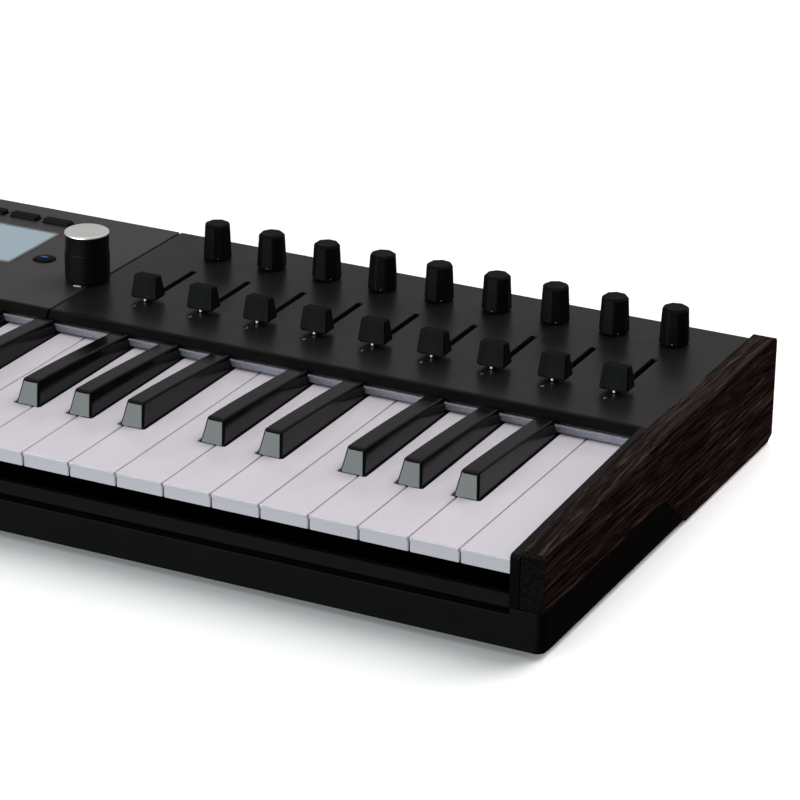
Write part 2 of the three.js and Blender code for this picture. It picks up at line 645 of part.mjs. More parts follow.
// ---- Screen ----------------------------------------------------------------------------------
const DISPLAY_BACK = 42;

function makeLens() {
  const { x0, x1, y0, y1 } = SCREEN;
  return block(x0, x1, y0, y1, PANEL_UNDER + 0.8, PANEL_TOP + 0.3);
}

function makeDisplay() {
  const { x0, x1, y0, y1 } = SCREEN;
  return join([
    block(x0 - 1, x1 + 1, y0 - 2, y1 + 2, DISPLAY_BACK, PANEL_UNDER - GAP),
    block(x0 + 6, x1 - 6, y0 + 4, y1 - 4, BOARD_TOP + GAP, DISPLAY_BACK),
  ]);
}

// ---- Wheels ----------------------------------------------------------------------------------
const AXLE_RADIUS = 3;
const AXLE_LENGTH = 3;
const DENT_RADIUS = 5;
const DENT_REACH = WHEEL_RADIUS + 3.2;
const YOKE = { gap: 0.8, thick: 3.7, half: 12, rise: 8 }; // a wall on each side of each wheel

function makeWheel(notches) {
  const half = WHEEL_WIDTH / 2;
  const body = join([
    axleX(-half, half, 0, 0, WHEEL_RADIUS, 48),
    axleX(-half - AXLE_LENGTH, half + AXLE_LENGTH, 0, 0, AXLE_RADIUS, 16),
  ]);
  const dents = notches.map((degrees) => {
    const angle = THREE.MathUtils.degToRad(degrees);
    const y = Math.sin(angle) * DENT_REACH;
    const z = Math.cos(angle) * DENT_REACH;
    return axleX(-half - 1, half + 1, y, z, DENT_RADIUS, 16);
  });
  return cut(body, dents);
}

function makeWheelHousing() {
  const half = WHEEL_WIDTH / 2;
  const bottom = FLOOR_TOP + GAP;
  const inner = half + YOKE.gap;
  const outer = inner + YOKE.thick;
  const front = WHEEL_Y - YOKE.half;
  const rear = WHEEL_Y + YOKE.half;
  const top = WHEEL_Z + YOKE.rise;
  const walls = [PITCH_WHEEL_X, MOD_WHEEL_X].flatMap((x) => [
    block(x - outer, x - inner, front, rear, bottom, top),
    block(x + inner, x + outer, front, rear, bottom, top),
  ]);
  const bridge = (y) => block(PITCH_WHEEL_X - outer, MOD_WHEEL_X + outer, y, y + 6, bottom, 9);
  const boreHalf = half + AXLE_LENGTH + GAP;
  const bores = [PITCH_WHEEL_X, MOD_WHEEL_X].map((x) => (
    axleX(x - boreHalf, x + boreHalf, WHEEL_Y, WHEEL_Z, AXLE_RADIUS + 0.35, 16)
  ));
  const channels = [PITCH_WHEEL_X, MOD_WHEEL_X].map((x) => (
    axleX(x - half - 0.7, x + half + 0.7, WHEEL_Y, WHEEL_Z, WHEEL_RADIUS + 0.9, 48)
  ));
  return cut(join([...walls, bridge(front), bridge(rear - 6)]), [...bores, ...channels]);
}

// ---- The assembly ----------------------------------------------------------------------------
addPiece('lower_case', makeLowerCase(), 'case');
addPiece('rear_plate', makeRearPlate(), 'case');
addPiece('cheek_right', makeCheek(1), 'wood');
addPiece('cheek_left', makeCheek(-1), 'wood');
addPiece('panel_right', makePanelRight(), 'panel_right');
addPiece('panel_centre', makePanelCentre(), 'panel_centre');
addPiece('panel_left', makePanelLeft(), 'panel_right');
addPiece('key_frame', makeKeyFrame(), 'frame');
addPiece('key_contact_board', makeContactBoard(), 'board');
addPiece('control_board', makeControlBoard(), 'board');
addPiece('key_felt', makeFelt(), 'felt');
addPiece('screen_lens', makeLens(), 'lens');
addPiece('display_module', makeDisplay(), 'display');
addPiece('screen_buttons', makeMat(SCREEN_BUTTONS, SCREEN_SHEETS), 'rubber');
addPiece('transport_buttons', makeMat(TRANSPORT_BUTTONS, TRANSPORT_SHEETS), 'rubber');
addPiece('pad_sheet', makeMat(PADS, PAD_SHEETS), 'pad');
addPiece('round_button', makeRoundButton(), 'control', [ROUND_BUTTON.x, ROUND_BUTTON.y, 0]);
addPiece('foot_front', block(-330, 330, -114, -102, 0, FOOT - GAP), 'rubber');
addPiece('foot_rear', block(-330, 330, 100, 112, 0, FOOT - GAP), 'rubber');
addPiece('wheel_housing', makeWheelHousing(), 'frame');
addPiece('pitch_wheel', makeWheel([0]), 'wheel', [PITCH_WHEEL_X, WHEEL_Y, WHEEL_Z]);
addPiece('mod_wheel', makeWheel([-60, 0]), 'wheel', [MOD_WHEEL_X, WHEEL_Y, WHEEL_Z]);
addPiece('main_encoder', makeEncoder(), 'control', [ENCODER_X, ENCODER_Y, 0]);

for (let index = 0; index < CHANNELS; index += 1) {
  addPiece(`knob_${index + 1}`, makeKnob(), 'control', [channelX(index), KNOB_Y, 0]);
  addPiece(`fader_cap_${index + 1}`, makeFader(), 'control', [channelX(index), FADER_REST_Y, 0]);
}

for (let octave = 0; octave < COMB_OCTAVES; octave += 1) {
  addPiece(`white_keys_octave_${LOWEST_OCTAVE + octave}`, makeWhiteComb(octave), 'white_key');
  addPiece(`black_keys_octave_${LOWEST_OCTAVE + octave}`, makeBlackComb(octave), 'black_key');
}

for (let index = 7 * COMB_OCTAVES; index < WHITE_KEYS; index += 1) {
  const octave = LOWEST_OCTAVE + Math.floor(index / 7);
  addPiece(`key_${noteOf(index)}${octave}`, makeWhiteKey(index), 'white_key');
  if (hasBlack(index)) {
    addPiece(`key_${noteOf(index)}_sharp_${octave}`, makeBlackKey(index), 'black_key');
  }
}

export default synthesizer;
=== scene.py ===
"""The looks of a 49-key keyboard synthesizer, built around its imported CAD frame.

Shapes are worked out in millimetres, in the frame of the CAD model (X along the keys, Y from the
player to the rear, Z up), and scaled to metres when a piece is made. The floor, the lights and the
camera are in metres from the start.
"""

import json
import math

import bmesh
import bpy
from mathutils import Matrix, Vector


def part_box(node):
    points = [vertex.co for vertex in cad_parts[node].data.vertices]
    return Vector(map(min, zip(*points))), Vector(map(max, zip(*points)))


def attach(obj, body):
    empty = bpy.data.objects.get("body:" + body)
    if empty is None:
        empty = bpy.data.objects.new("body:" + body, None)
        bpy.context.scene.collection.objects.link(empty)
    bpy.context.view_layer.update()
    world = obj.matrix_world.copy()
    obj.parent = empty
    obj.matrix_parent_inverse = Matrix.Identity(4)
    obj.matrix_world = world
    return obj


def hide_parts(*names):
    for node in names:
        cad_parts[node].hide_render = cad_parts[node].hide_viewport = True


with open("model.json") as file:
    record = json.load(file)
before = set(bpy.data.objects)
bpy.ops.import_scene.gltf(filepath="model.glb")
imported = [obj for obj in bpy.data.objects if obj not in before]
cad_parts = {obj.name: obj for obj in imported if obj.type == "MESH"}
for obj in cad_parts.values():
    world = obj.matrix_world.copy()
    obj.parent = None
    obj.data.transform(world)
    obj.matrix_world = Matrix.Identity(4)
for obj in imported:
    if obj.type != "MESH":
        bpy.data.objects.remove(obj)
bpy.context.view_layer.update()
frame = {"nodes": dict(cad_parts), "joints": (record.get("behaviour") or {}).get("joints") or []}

MM = 0.001
NOTES = "CDEFGAB"
WHITE_KEYS = 29
LOW_OCTAVES = (2, 3, 4)
TOP_OCTAVE = 5
CHANNELS = range(1, 10)


# ---- Places, read from the frame ----
def box(node):
    """The lowest and highest corner of a CAD node, in millimetres."""
    low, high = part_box(node)
    return low / MM, high / MM


def middle(node):
    low, high = box(node)
    return (low + high) / 2


def travel(joint_name):
    """How far a sliding joint goes, in millimetres."""
    joint = next(j for j in frame["joints"] if j["name"] == joint_name)
    return joint["range_m"][1] / MM


CENTRE_LOW, CENTRE_HIGH = box("panel_centre")
KEY_LOW, KEY_HIGH = box("key_C5")
BLACK_LOW, BLACK_HIGH = box("key_C_sharp_5")

PANEL_TOP = CENTRE_HIGH.z
PANEL_THICK = 2.5
PANEL_UNDER = PANEL_TOP - PANEL_THICK
LIP_LEAN = 3.4  # how far the lip under the panel's front edge leans forward
LIP_LOW = CENTRE_LOW.z
PANEL_FRONT = CENTRE_LOW.y + LIP_LEAN
CREASE = PANEL_FRONT + 0.6  # where a rail's slope ends and the wall under the panel starts
RAIL_WIDTH = 4.4
RAIL_FRONT_TOP = 45.7
FRONT = box("lower_case")[0].y
CASE_SHOULDER = 21.4
FLOOR_THICK = 2.2
LEDGE_TOP = 18.4
FRONT_WALL = 6
THIN_WALL = 2.5
GAP = 0.3
WELD = 0.5  # how far one block reaches into the next

KEY_PITCH = box("key_D5")[0].x - KEY_LOW.x
KEY_SWELL = 0.2  # how far a white key's sides stand out from the CAD solid
KEY_TOP = KEY_HIGH.z
KEY_DEPTH = 7.2  # thickness of a white key
KEY_FRONT = KEY_LOW.y
KEY_TAIL = 11  # behind this a white key is a thin hinge tail
WHITE_TAIL = (35.4, 38.4)  # the lowest and highest z of the hinge tails
BLACK_TAIL = (39.2, 42.4)
BLACK_HALF = (BLACK_HIGH.x - BLACK_LOW.x) / 2
BLACK_REAR = -1
BLACK_REAR_TOP = 49
BLACK_FOOT = 36
BLACK_BASE = KEY_TOP - 0.8  # below this a black key is a plain block
BLACK_TAPER = 1.6  # how much narrower each side is at the top
BLACK_EDGE = 1.3
PLUNGER_Y = (-60, -52)  # the front and rear of the plunger under each key
WHITE_PLUNGER_INSET = 9
BLACK_PLUNGER_HALF = 2.5


# ---- Outlines ----
def rect(x0, x1, y0, y1):
    return [(x0, y0), (x1, y0), (x1, y1), (x0, y1)]


def circle(x, y, radius, count=32):
    turns = [2 * math.pi * step / count for step in range(count)]
    return [(x + radius * math.cos(a), y + radius * math.sin(a)) for a in turns]


def rounded(points, radius, steps=4):
    """The outline with its corners turned into arcs. radius is one value, or one for each corner."""
    radii = radius if isinstance(radius, (list, tuple)) else [radius] * len(points)
    arcs = []
    for index, (corner, size) in enumerate(zip(points, radii)):
        if size <= 0:
            arcs.append(tuple(corner))
            continue
        here = Vector((*corner, 0))
        before = (Vector((*points[index - 1], 0)) - here).normalized()
        after = (Vector((*points[(index + 1) % len(points)], 0)) - here).normalized()
        half = before.angle(after) / 2
        centre = here + (before + after).normalized() * (size / math.sin(half))
        start = here + before * (size / math.tan(half)) - centre
        stop = here + after * (size / math.tan(half)) - centre
        for step in range(steps + 1):
            arcs.append(tuple((centre + start.slerp(stop, step / steps) * size).xy))
    return arcs


def footprint(low, high, margin, radius):
    """The rectangle between two corners, widened by a margin, with round corners."""
    return rounded(rect(low.x - margin, high.x + margin, low.y - margin, high.y + margin), radius)


def slot_outline(x, y0, y1, width):
    return rounded(rect(x - width / 2, x + width / 2, y0, y1), width * 0.495, 6)


# ---- Mesh making ----
PLACING = {
    "X": lambda a, b, height: (height, a, b),
    "Y": lambda a, b, height: (a, height, b),
    "Z": lambda a, b, height: (a, b, height),
}


def skin(bm, rings, capped=True):
    """Joins rings of points of the same length with quads, and closes the two ends."""
    loops = [[bm.verts.new(point) for point in ring] for ring in rings]
    count = len(loops[0])
    faces = []
    for lower, upper in zip(loops, loops[1:]):
        for index in range(count):
            after = (index + 1) % count
            faces.append(bm.faces.new((lower[index], lower[after], upper[after], upper[index])))
    if capped:
        faces.append(bm.faces.new(loops[0][::-1]))
        faces.append(bm.faces.new(loops[-1]))
    bmesh.ops.recalc_face_normals(bm, faces=faces)


def prism(bm, outline, axis, start, stop):
    """An outline extruded along an axis: (y, z) along X, (x, z) along Y, or (x, y) along Z."""
    place = PLACING[axis]
    skin(bm, [[place(a, b, height) for a, b in outline] for height in (start, stop)])


def block(bm, x0, x1, y0, y1, z0, z1):
    prism(bm, rect(x0, x1, y0, y1), "Z", z0, z1)


def absorb(bm, part):
    """Adds one mesh to another."""
    mesh = bpy.data.meshes.new("part")
    part.to_mesh(mesh)
    part.free()
    bm.from_mesh(mesh)
    bpy.data.meshes.remove(mesh)


def lathe(bm, profile, x, y, count=64):
    """A profile of (radius, z) points turned round an upright axis; radius 0 closes an end."""
    rings = [[(x + dx * r, y + dy * r, z) for dx, dy in circle(0, 0, 1, count)] for r, z in profile if r > 0]
    skin(bm, rings)


NEAR = 0.1  # how close an edge is to a face to count as on it


def soften(bm, width, segments=2, sharp=30, pick=None):
    """Rounds the edges that are sharper than an angle, or those of them that pick accepts."""
    bm.normal_update()
    edges = [
        edge for edge in bm.edges
        if len(edge.link_faces) == 2
        and edge.calc_face_angle(0) > math.radians(sharp)
        and (pick is None or pick((edge.verts[0].co + edge.verts[1].co) / 2))
    ]
    bmesh.ops.bevel(
        bm, geom=edges, offset=width, offset_type="OFFSET", segments=segments,
        profile=0.5, affect="EDGES", clamp_overlap=True,
    )


def add_object(name, data):
    made = bpy.data.objects.new(name, data)
    bpy.context.scene.collection.objects.link(made)
    return made


def mesh_of(curve):
    """The mesh of a curve or a text, which is removed."""
    holder = add_object("holder", curve)
    depsgraph = bpy.context.evaluated_depsgraph_get()
    mesh = bpy.data.meshes.new_from_object(holder.evaluated_get(depsgraph))
    bpy.data.objects.remove(holder)
    bpy.data.curves.remove(curve)
    return mesh


def move(bm, matrix):
    bmesh.ops.transform(bm, matrix=matrix, verts=bm.verts)


def plate(bm, outline, holes, z0, z1, edge):
    """A flat plate with holes, all its rims rounded by edge."""
    curve = bpy.data.curves.new("plate", "CURVE")
    curve.dimensions = "2D"
    curve.fill_mode = "BOTH"
    curve.extrude = (z1 - z0) / 2 - edge
    curve.bevel_depth = edge
    curve.bevel_resolution = 2
    curve.offset = -edge
    for loop in [outline, *holes]:
        spline = curve.splines.new("POLY")
        spline.points.add(len(loop) - 1)
        spline.use_cyclic_u = True
        for point, (x, y) in zip(spline.points, loop):
            point.co = (x, y, 0, 1)
    mesh = mesh_of(curve)
    mesh.transform(Matrix.Translation((0, 0, (z0 + z1) / 2)))
    bm.from_mesh(mesh)
    bmesh.ops.remove_doubles(bm, verts=bm.verts, dist=1e-4)
    bpy.data.meshes.remove(mesh)


def piece(name, bm, material, body="body", stands_for=(), smooth=40):
    """Makes an object of the mesh, on a CAD body, in place of some CAD nodes."""
    bmesh.ops.scale(bm, vec=(MM, MM, MM), verts=bm.verts)
    mesh = bpy.data.meshes.new(name)
    bm.to_mesh(mesh)
    bm.free()
    mesh.polygons.foreach_set("use_smooth", [True] * len(mesh.polygons))
    mesh.set_sharp_from_angle(angle=math.radians(smooth))
    mesh.materials.append(material)
    made = add_object(name, mesh)
    weighted = made.modifiers.new("flat_faces", "WEIGHTED_NORMAL")
    weighted.keep_sharp = True
    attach(made, body)
    if stands_for:
        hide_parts(*stands_for)
    return made


# ---- Materials ----
def set_inputs(node, **values):
    """Gives inputs of a node these constants, or links them to these outputs."""
    for key, value in values.items():
        socket = node.inputs[key.replace("_", " ")]
        if isinstance(value, bpy.types.NodeSocket):
            node.id_data.links.new(value, socket)
        else:
            socket.default_value = value


def add_node(tree, kind, **values):
    node = tree.nodes.new("ShaderNode" + kind)
    set_inputs(node, **values)
    return node


def new_material(name, **values):
    """A material with a Principled shader and these values on its sockets."""
    made = bpy.data.materials.new(name)
    made.use_nodes = True
    shader = made.node_tree.nodes["Principled BSDF"]
    set_inputs(shader, **values)
    return made, made.node_tree, shader


def object_point(tree, stretch=(1, 1, 1)):
    """Object coordinates, stretched along the axes."""
    point = add_node(tree, "TexCoord").outputs["Object"]
    return add_node(tree, "Mapping", Scale=stretch, Vector=point).outputs["Vector"]


def noise(tree, size_mm, detail=3, stretch=(1, 1, 1), roughness=0.55):
    """Noise with features of this size."""
    return add_node(
        tree, "TexNoise", Scale=1 / (size_mm * MM), Detail=detail, Roughness=roughness,
        Vector=object_point(tree, stretch),
    ).outputs["Fac"]


def multiply(tree, first, second):
    """Two colours multiplied."""
    node = add_node(tree, "Mix")
    node.data_type = "RGBA"
    node.blend_type = "MULTIPLY"
    set_inputs(node, Factor=1, A=first, B=second)
    return node.outputs["Result"]


def ramp(tree, source, stops):
    """Colours along a value; stops are (place, colour)."""
    node = add_node(tree, "ValToRGB", Fac=source)
    elements = node.color_ramp.elements
    while len(elements) < len(stops):
        elements.new(0.5)
    for element, (place, colour) in zip(elements, stops):
        element.position = place
        element.color = (*colour, 1)
    return node.outputs["Color"]


def span(tree, source, low, high):
    """Maps the middle of a noise to a span of values."""
    return add_node(
        tree, "MapRange", Value=source, From_Min=0.3, From_Max=0.7, To_Min=low, To_Max=high,
    ).outputs["Result"]


def bump(tree, source, strength, depth_mm):
    return add_node(
        tree, "Bump", Height=source, Strength=strength, Distance=depth_mm * MM,
    ).outputs["Normal"]


def shade(colour, factor):
    return tuple(channel * factor for channel in colour)


def moulded(name, colour, roughness, grain_mm=0.35, relief=0.15, mottle=0.12, **values):
    """Plastic, paint or rubber: fine surface grain, slight mottling and an uneven sheen."""
    made, tree, shader = new_material(name, **values)
    broad = noise(tree, 18, 4)
    tones = [(0.3, shade(colour, 1 - mottle)), (0.7, shade(colour, 1 + mottle))]
    set_inputs(
        shader, Base_Color=ramp(tree, broad, tones),
        Roughness=span(tree, broad, roughness - 0.04, roughness + 0.04),
        Normal=bump(tree, noise(tree, grain_mm, 2), relief, 0.05),
    )
    return made


def wood():
    """Dark open-grained wood, its grain along Y: bands, fine fibres, long pores and dark ends."""
    made, tree, shader = new_material("dark_oak", Specular_IOR_Level=0.055)
    bands = noise(tree, 1.7, 3, (1, 0.035, 1), 0.5)
    fibres = noise(tree, 0.7, 4, (1, 0.03, 1), 0.65)
    pores = noise(tree, 0.9, 2, (1, 0.05, 1), 0.5)
    blend = add_node(tree, "Mix", Factor=0.55, A=bands, B=fibres)
    body = ramp(tree, blend.outputs["Result"], [
        (0.38, (0.0022, 0.0010, 0.0008)), (0.47, (0.0075, 0.0038, 0.0030)),
        (0.54, (0.0180, 0.0105, 0.0086)), (0.64, (0.0520, 0.0330, 0.0270)),
    ])
    holes = ramp(tree, pores, [(0.36, (0.12, 0.10, 0.10)), (0.46, (1, 1, 1))])
    normal = add_node(tree, "SeparateXYZ", Vector=add_node(tree, "TexCoord").outputs["Normal"])
    facing = add_node(tree, "Math")
    facing.operation = "ABSOLUTE"
    tree.links.new(normal.outputs["Y"], facing.inputs[0])
    end_grain = ramp(tree, facing.outputs["Value"], [(0.35, (1, 1, 1)), (0.8, (0.20, 0.19, 0.19))])
    set_inputs(
        shader, Base_Color=multiply(tree, multiply(tree, body, holes), end_grain),
        Roughness=span(tree, fibres, 0.42, 0.62), Normal=bump(tree, holes, 0.5, 0.12),
    )
    return made


def felt():
    """Woven wool felt: matted fibres in pale lilac grey."""
    made, tree, shader = new_material(
        "wool_felt", Roughness=0.95, Specular_IOR_Level=0.1, Sheen_Weight=0.3, Sheen_Roughness=0.6,
    )
    fibres = noise(tree, 0.35, 4, (1, 2, 1), 0.7)
    tones = [(0.35, (0.085, 0.080, 0.100)), (0.5, (0.23, 0.22, 0.265)), (0.65, (0.42, 0.405, 0.47))]
    set_inputs(shader, Base_Color=ramp(tree, fibres, tones), Normal=bump(tree, fibres, 0.9, 0.4))
    return made


def turned_metal(name, colour, roughness):
    """Metal faced on a lathe: a fine grain, and highlights that fan out from the axis."""
    made, tree, shader = new_material(name, Metallic=0.7, Anisotropic=0.85)
    grain = noise(tree, 0.12, 2)
    tangent = add_node(tree, "Tangent")
    tangent.direction_type = "RADIAL"
    tangent.axis = "Z"
    set_inputs(
        shader, Base_Color=ramp(tree, grain, [(0.3, shade(colour, 0.86)), (0.7, shade(colour, 1.08))]),
        Roughness=span(tree, grain, roughness - 0.05, roughness + 0.05),
        Tangent=tangent.outputs["Tangent"],
    )
    return made


def screen_surface():
    """A lit display behind clear plastic: pale blue, with a faint pixel grid."""
    made, tree, shader = new_material(
        "display_blue", Roughness=0.18, Coat_Weight=0.6, Coat_Roughness=0.05,
    )
    pixel = 0.5 * MM
    grid = add_node(
        tree, "TexChecker", Scale=1 / pixel, Vector=object_point(tree),
        Color1=(0.275, 0.355, 0.408, 1), Color2=(0.290, 0.372, 0.426, 1),
    )
    clouds = ramp(tree, noise(tree, 60, 1), [(0.3, (0.9, 0.92, 0.93)), (0.7, (1, 1, 1))])
    set_inputs(shader, Base_Color=multiply(tree, grid.outputs["Color"], clouds))
    return made


# Each moulded material states its colour, roughness, grain in mm, relief and mottling, in this order.
CASE = moulded("case_black", (0.0023, 0.0019, 0.0017), 0.55, 0.4, 0.25, Specular_IOR_Level=0.08)
PANEL = moulded("panel_dark_grey", (0.0060, 0.0055, 0.0057), 0.33, 0.25, 0.08, 0.05)
PANEL_LIGHT = moulded("panel_mid_grey", (0.028, 0.0257, 0.0265), 0.36, 0.25, 0.08, 0.05)
# The panel's finish made darker and less shiny for the lips under the panels' front edges and for the rail
# beside the keys, which belong to the same panels: this darkening is painted shade.
EDGE = moulded(
    "panel_edge_painted_shade", (0.0024, 0.0022, 0.0022), 0.24, 0.25, 0.06, 0.08, Specular_IOR_Level=0.15,
)
WOOD = wood()
IVORY = moulded(
    "key_white", (0.540, 0.508, 0.550), 0.12, 0.9, 0.02, 0.012,
    Subsurface_Weight=0.15, Subsurface_Scale=0.002,
)
EBONY = moulded("key_black", (0.0028, 0.0026, 0.0026), 0.13, 0.5, 0.02, 0.1, Specular_IOR_Level=0.25)
CONTROL = moulded("control_soft_black", (0.0036, 0.0034, 0.0034), 0.40, 0.3, 0.12, Specular_IOR_Level=0.06)
CAP = moulded("cap_soft_black", (0.0034, 0.0032, 0.0032), 0.34, 0.3, 0.10, Specular_IOR_Level=0.026)
RUBBER = moulded("button_rubber_black", (0.0036, 0.0035, 0.0036), 0.5, 0.3, 0.2, Specular_IOR_Level=0.08)
PAD = moulded("pad_rubber_grey", (0.030, 0.030, 0.032), 0.6, 0.5, 0.3)
FOOT_RUBBER = moulded("foot_rubber_black", (0.012, 0.012, 0.012), 0.8, 0.6, 0.4)
BEZEL = moulded("bezel_grey", (0.11, 0.11, 0.11), 0.35, 0.3, 0.05)
PALE_PRINT = moulded("print_pale", (0.72, 0.72, 0.70), 0.5, 0.2, 0.05, 0.04)
GREY_PRINT = moulded("print_grey", (0.22, 0.22, 0.22), 0.5, 0.2, 0.05, 0.04)
BLUE_PRINT = moulded("print_blue", (0.02, 0.12, 0.45), 0.4, 0.2, 0.05, 0.06)
NICKEL = moulded("socket_nickel", (0.55, 0.54, 0.52), 0.25, 0.3, 0.1, 0.08, Metallic=1.0)
SOCKET = moulded("socket_black", (0.006, 0.006, 0.006), 0.5, 0.3, 0.1)
BOARD = moulded("circuit_black", (0.0045, 0.0060, 0.0048), 0.45, 0.4, 0.2, 0.2, Specular_IOR_Level=0.1)
INNER = moulded("frame_black", (0.0055, 0.0050, 0.0048), 0.7, 0.5, 0.2, Specular_IOR_Level=0.06)
SHEET_METAL = moulded("display_metal_grey", (0.25, 0.26, 0.27), 0.35, 0.3, 0.2, 0.1, Metallic=0.8)
STEEL = turned_metal("encoder_steel", (0.88, 0.87, 0.85), 0.26)
FELT = felt()
DISPLAY = screen_surface()


# ---- Case, rear plate, cheeks and feet ----
CORNER_RADIUS = 4
CORNER_TOP_Y = -2.3
CORNER_BOTTOM_Y = 20.7


def make_case():
    """The tray: a floor, a front wall with a ledge under the keys, and flared front corners."""
    low, high = box("lower_case")
    bottom = low.z
    side = box("panel_right")[1].x
    top_keys = len(NOTES) + 1
    keys_right = KEY_LOW.x + top_keys * KEY_PITCH - (KEY_PITCH - (KEY_HIGH.x - KEY_LOW.x)) / 2
    keys_left = keys_right - WHITE_KEYS * KEY_PITCH
    bm = bmesh.new()
    front = [
        (low.x, bottom), (high.x, bottom), (high.x, CASE_SHOULDER), (keys_right + GAP, CASE_SHOULDER),
        (keys_right + GAP, LEDGE_TOP), (keys_left - GAP, LEDGE_TOP), (keys_left - GAP, CASE_SHOULDER),
        (low.x, CASE_SHOULDER),
    ]
    joint = FRONT + FRONT_WALL
    prism(bm, front, "Y", FRONT, joint)
    soften(bm, CORNER_RADIUS, 8, pick=lambda p: abs(p.x) > high.x - NEAR and abs(p.y - FRONT) < NEAR)
    soften(bm, 0.5, 3, pick=lambda p: p.y < joint - NEAR)
    corner = [
        (joint, bottom), (CORNER_BOTTOM_Y, bottom), (CORNER_TOP_Y, CASE_SHOULDER), (joint, CASE_SHOULDER),
    ]
    for x0, x1 in ((low.x, -side), (side, high.x)):
        prism(bm, corner, "X", x0, x1)
    block(bm, -side, side, joint, high.y, bottom, bottom + FLOOR_THICK)
    for x0, x1 in ((-side, THIN_WALL - side), (side - THIN_WALL, side)):
        block(bm, x0, x1, joint, high.y, bottom + FLOOR_THICK, CASE_SHOULDER)
    block(bm, -side, side, high.y - THIN_WALL, high.y, bottom + FLOOR_THICK, PANEL_UNDER - GAP)
    piece("case_tray", bm, CASE, stands_for=["lower_case"])


def make_cheek(node, side):
    low, high = box(node)
    foot = low.z
    inner = min(abs(low.x), abs(high.x))
    outer = max(abs(low.x), abs(high.x))
    outline = [
        (low.y, CASE_SHOULDER + GAP), (CORNER_TOP_Y + 0.15, CASE_SHOULDER + GAP),
        (CORNER_BOTTOM_Y + 2.6, foot + 0.3), (high.y - 5, foot), (high.y, foot + 2.5),
        (high.y, high.z), (PANEL_FRONT - 8, high.z), (low.y, RAIL_FRONT_TOP + 1.9),
    ]
    radii = [0, 0, 2, 2, 1, 3, 40, 1.8]  # the 40 is the soft bend where the top starts to fall
    bm = bmesh.new()
    start, stop = sorted((side * inner, side * outer))
    prism(bm, rounded(outline, radii, 6), "X", start, stop)
    soften(bm, 3.3, 8, pick=lambda p: abs(p.y - low.y) < 0.2 and abs(abs(p.x) - outer) < NEAR)
    soften(bm, 0.7, 3, sharp=40)
    piece(f"{node}_board", bm, WOOD, stands_for=[node])


def make_feet():
    """Two rubber strips, ribbed along their length."""
    ribs = 3
    rib_height = 0.8
    groove_half = 0.6
    for node in ("foot_front", "foot_rear"):
        low, high = box(node)
        bm = bmesh.new()
        block(bm, low.x, high.x, low.y, high.y, low.z + rib_height, high.z)
        pitch = (high.y - low.y) / ribs
        for rib in range(ribs):
            start = low.y + rib * pitch
            front, rear = start + groove_half, start + pitch - groove_half
            block(bm, low.x + 0.5, high.x - 0.5, front, rear, low.z, low.z + rib_height + 0.1)
        soften(bm, 0.3, 2)
        piece(f"{node}_strip", bm, FOOT_RUBBER, stands_for=[node])


DIN_SPOTS = (-258, -230)  # where the sockets are along X
JACK_SPOTS = (-200, -182, -164)
USB_SPOT = -296
SOCKET_Z = 27
DIN_HOLE = 7.6
JACK_HOLE = 3.9
USB_HALF_WIDTH = 6.1
USB_HALF_HEIGHT = 5.5
LOCK_SLOT = rect(-361, -354, SOCKET_Z - 1.5, SOCKET_Z + 1.5)
PIN_CIRCLE = 3.75


def tube_y(bm, x, z, outer, inner, y0, y1, count=40):
    """A ring along Y."""
    rings = [
        [(x + dx * r, y, z + dz * r) for dx, dz in circle(0, 0, 1, count)]
        for r, y in ((inner, y0), (outer, y0), (outer, y1), (inner, y1), (inner, y0))
    ]
    skin(bm, rings, capped=False)
    bmesh.ops.remove_doubles(bm, verts=bm.verts, dist=1e-4)


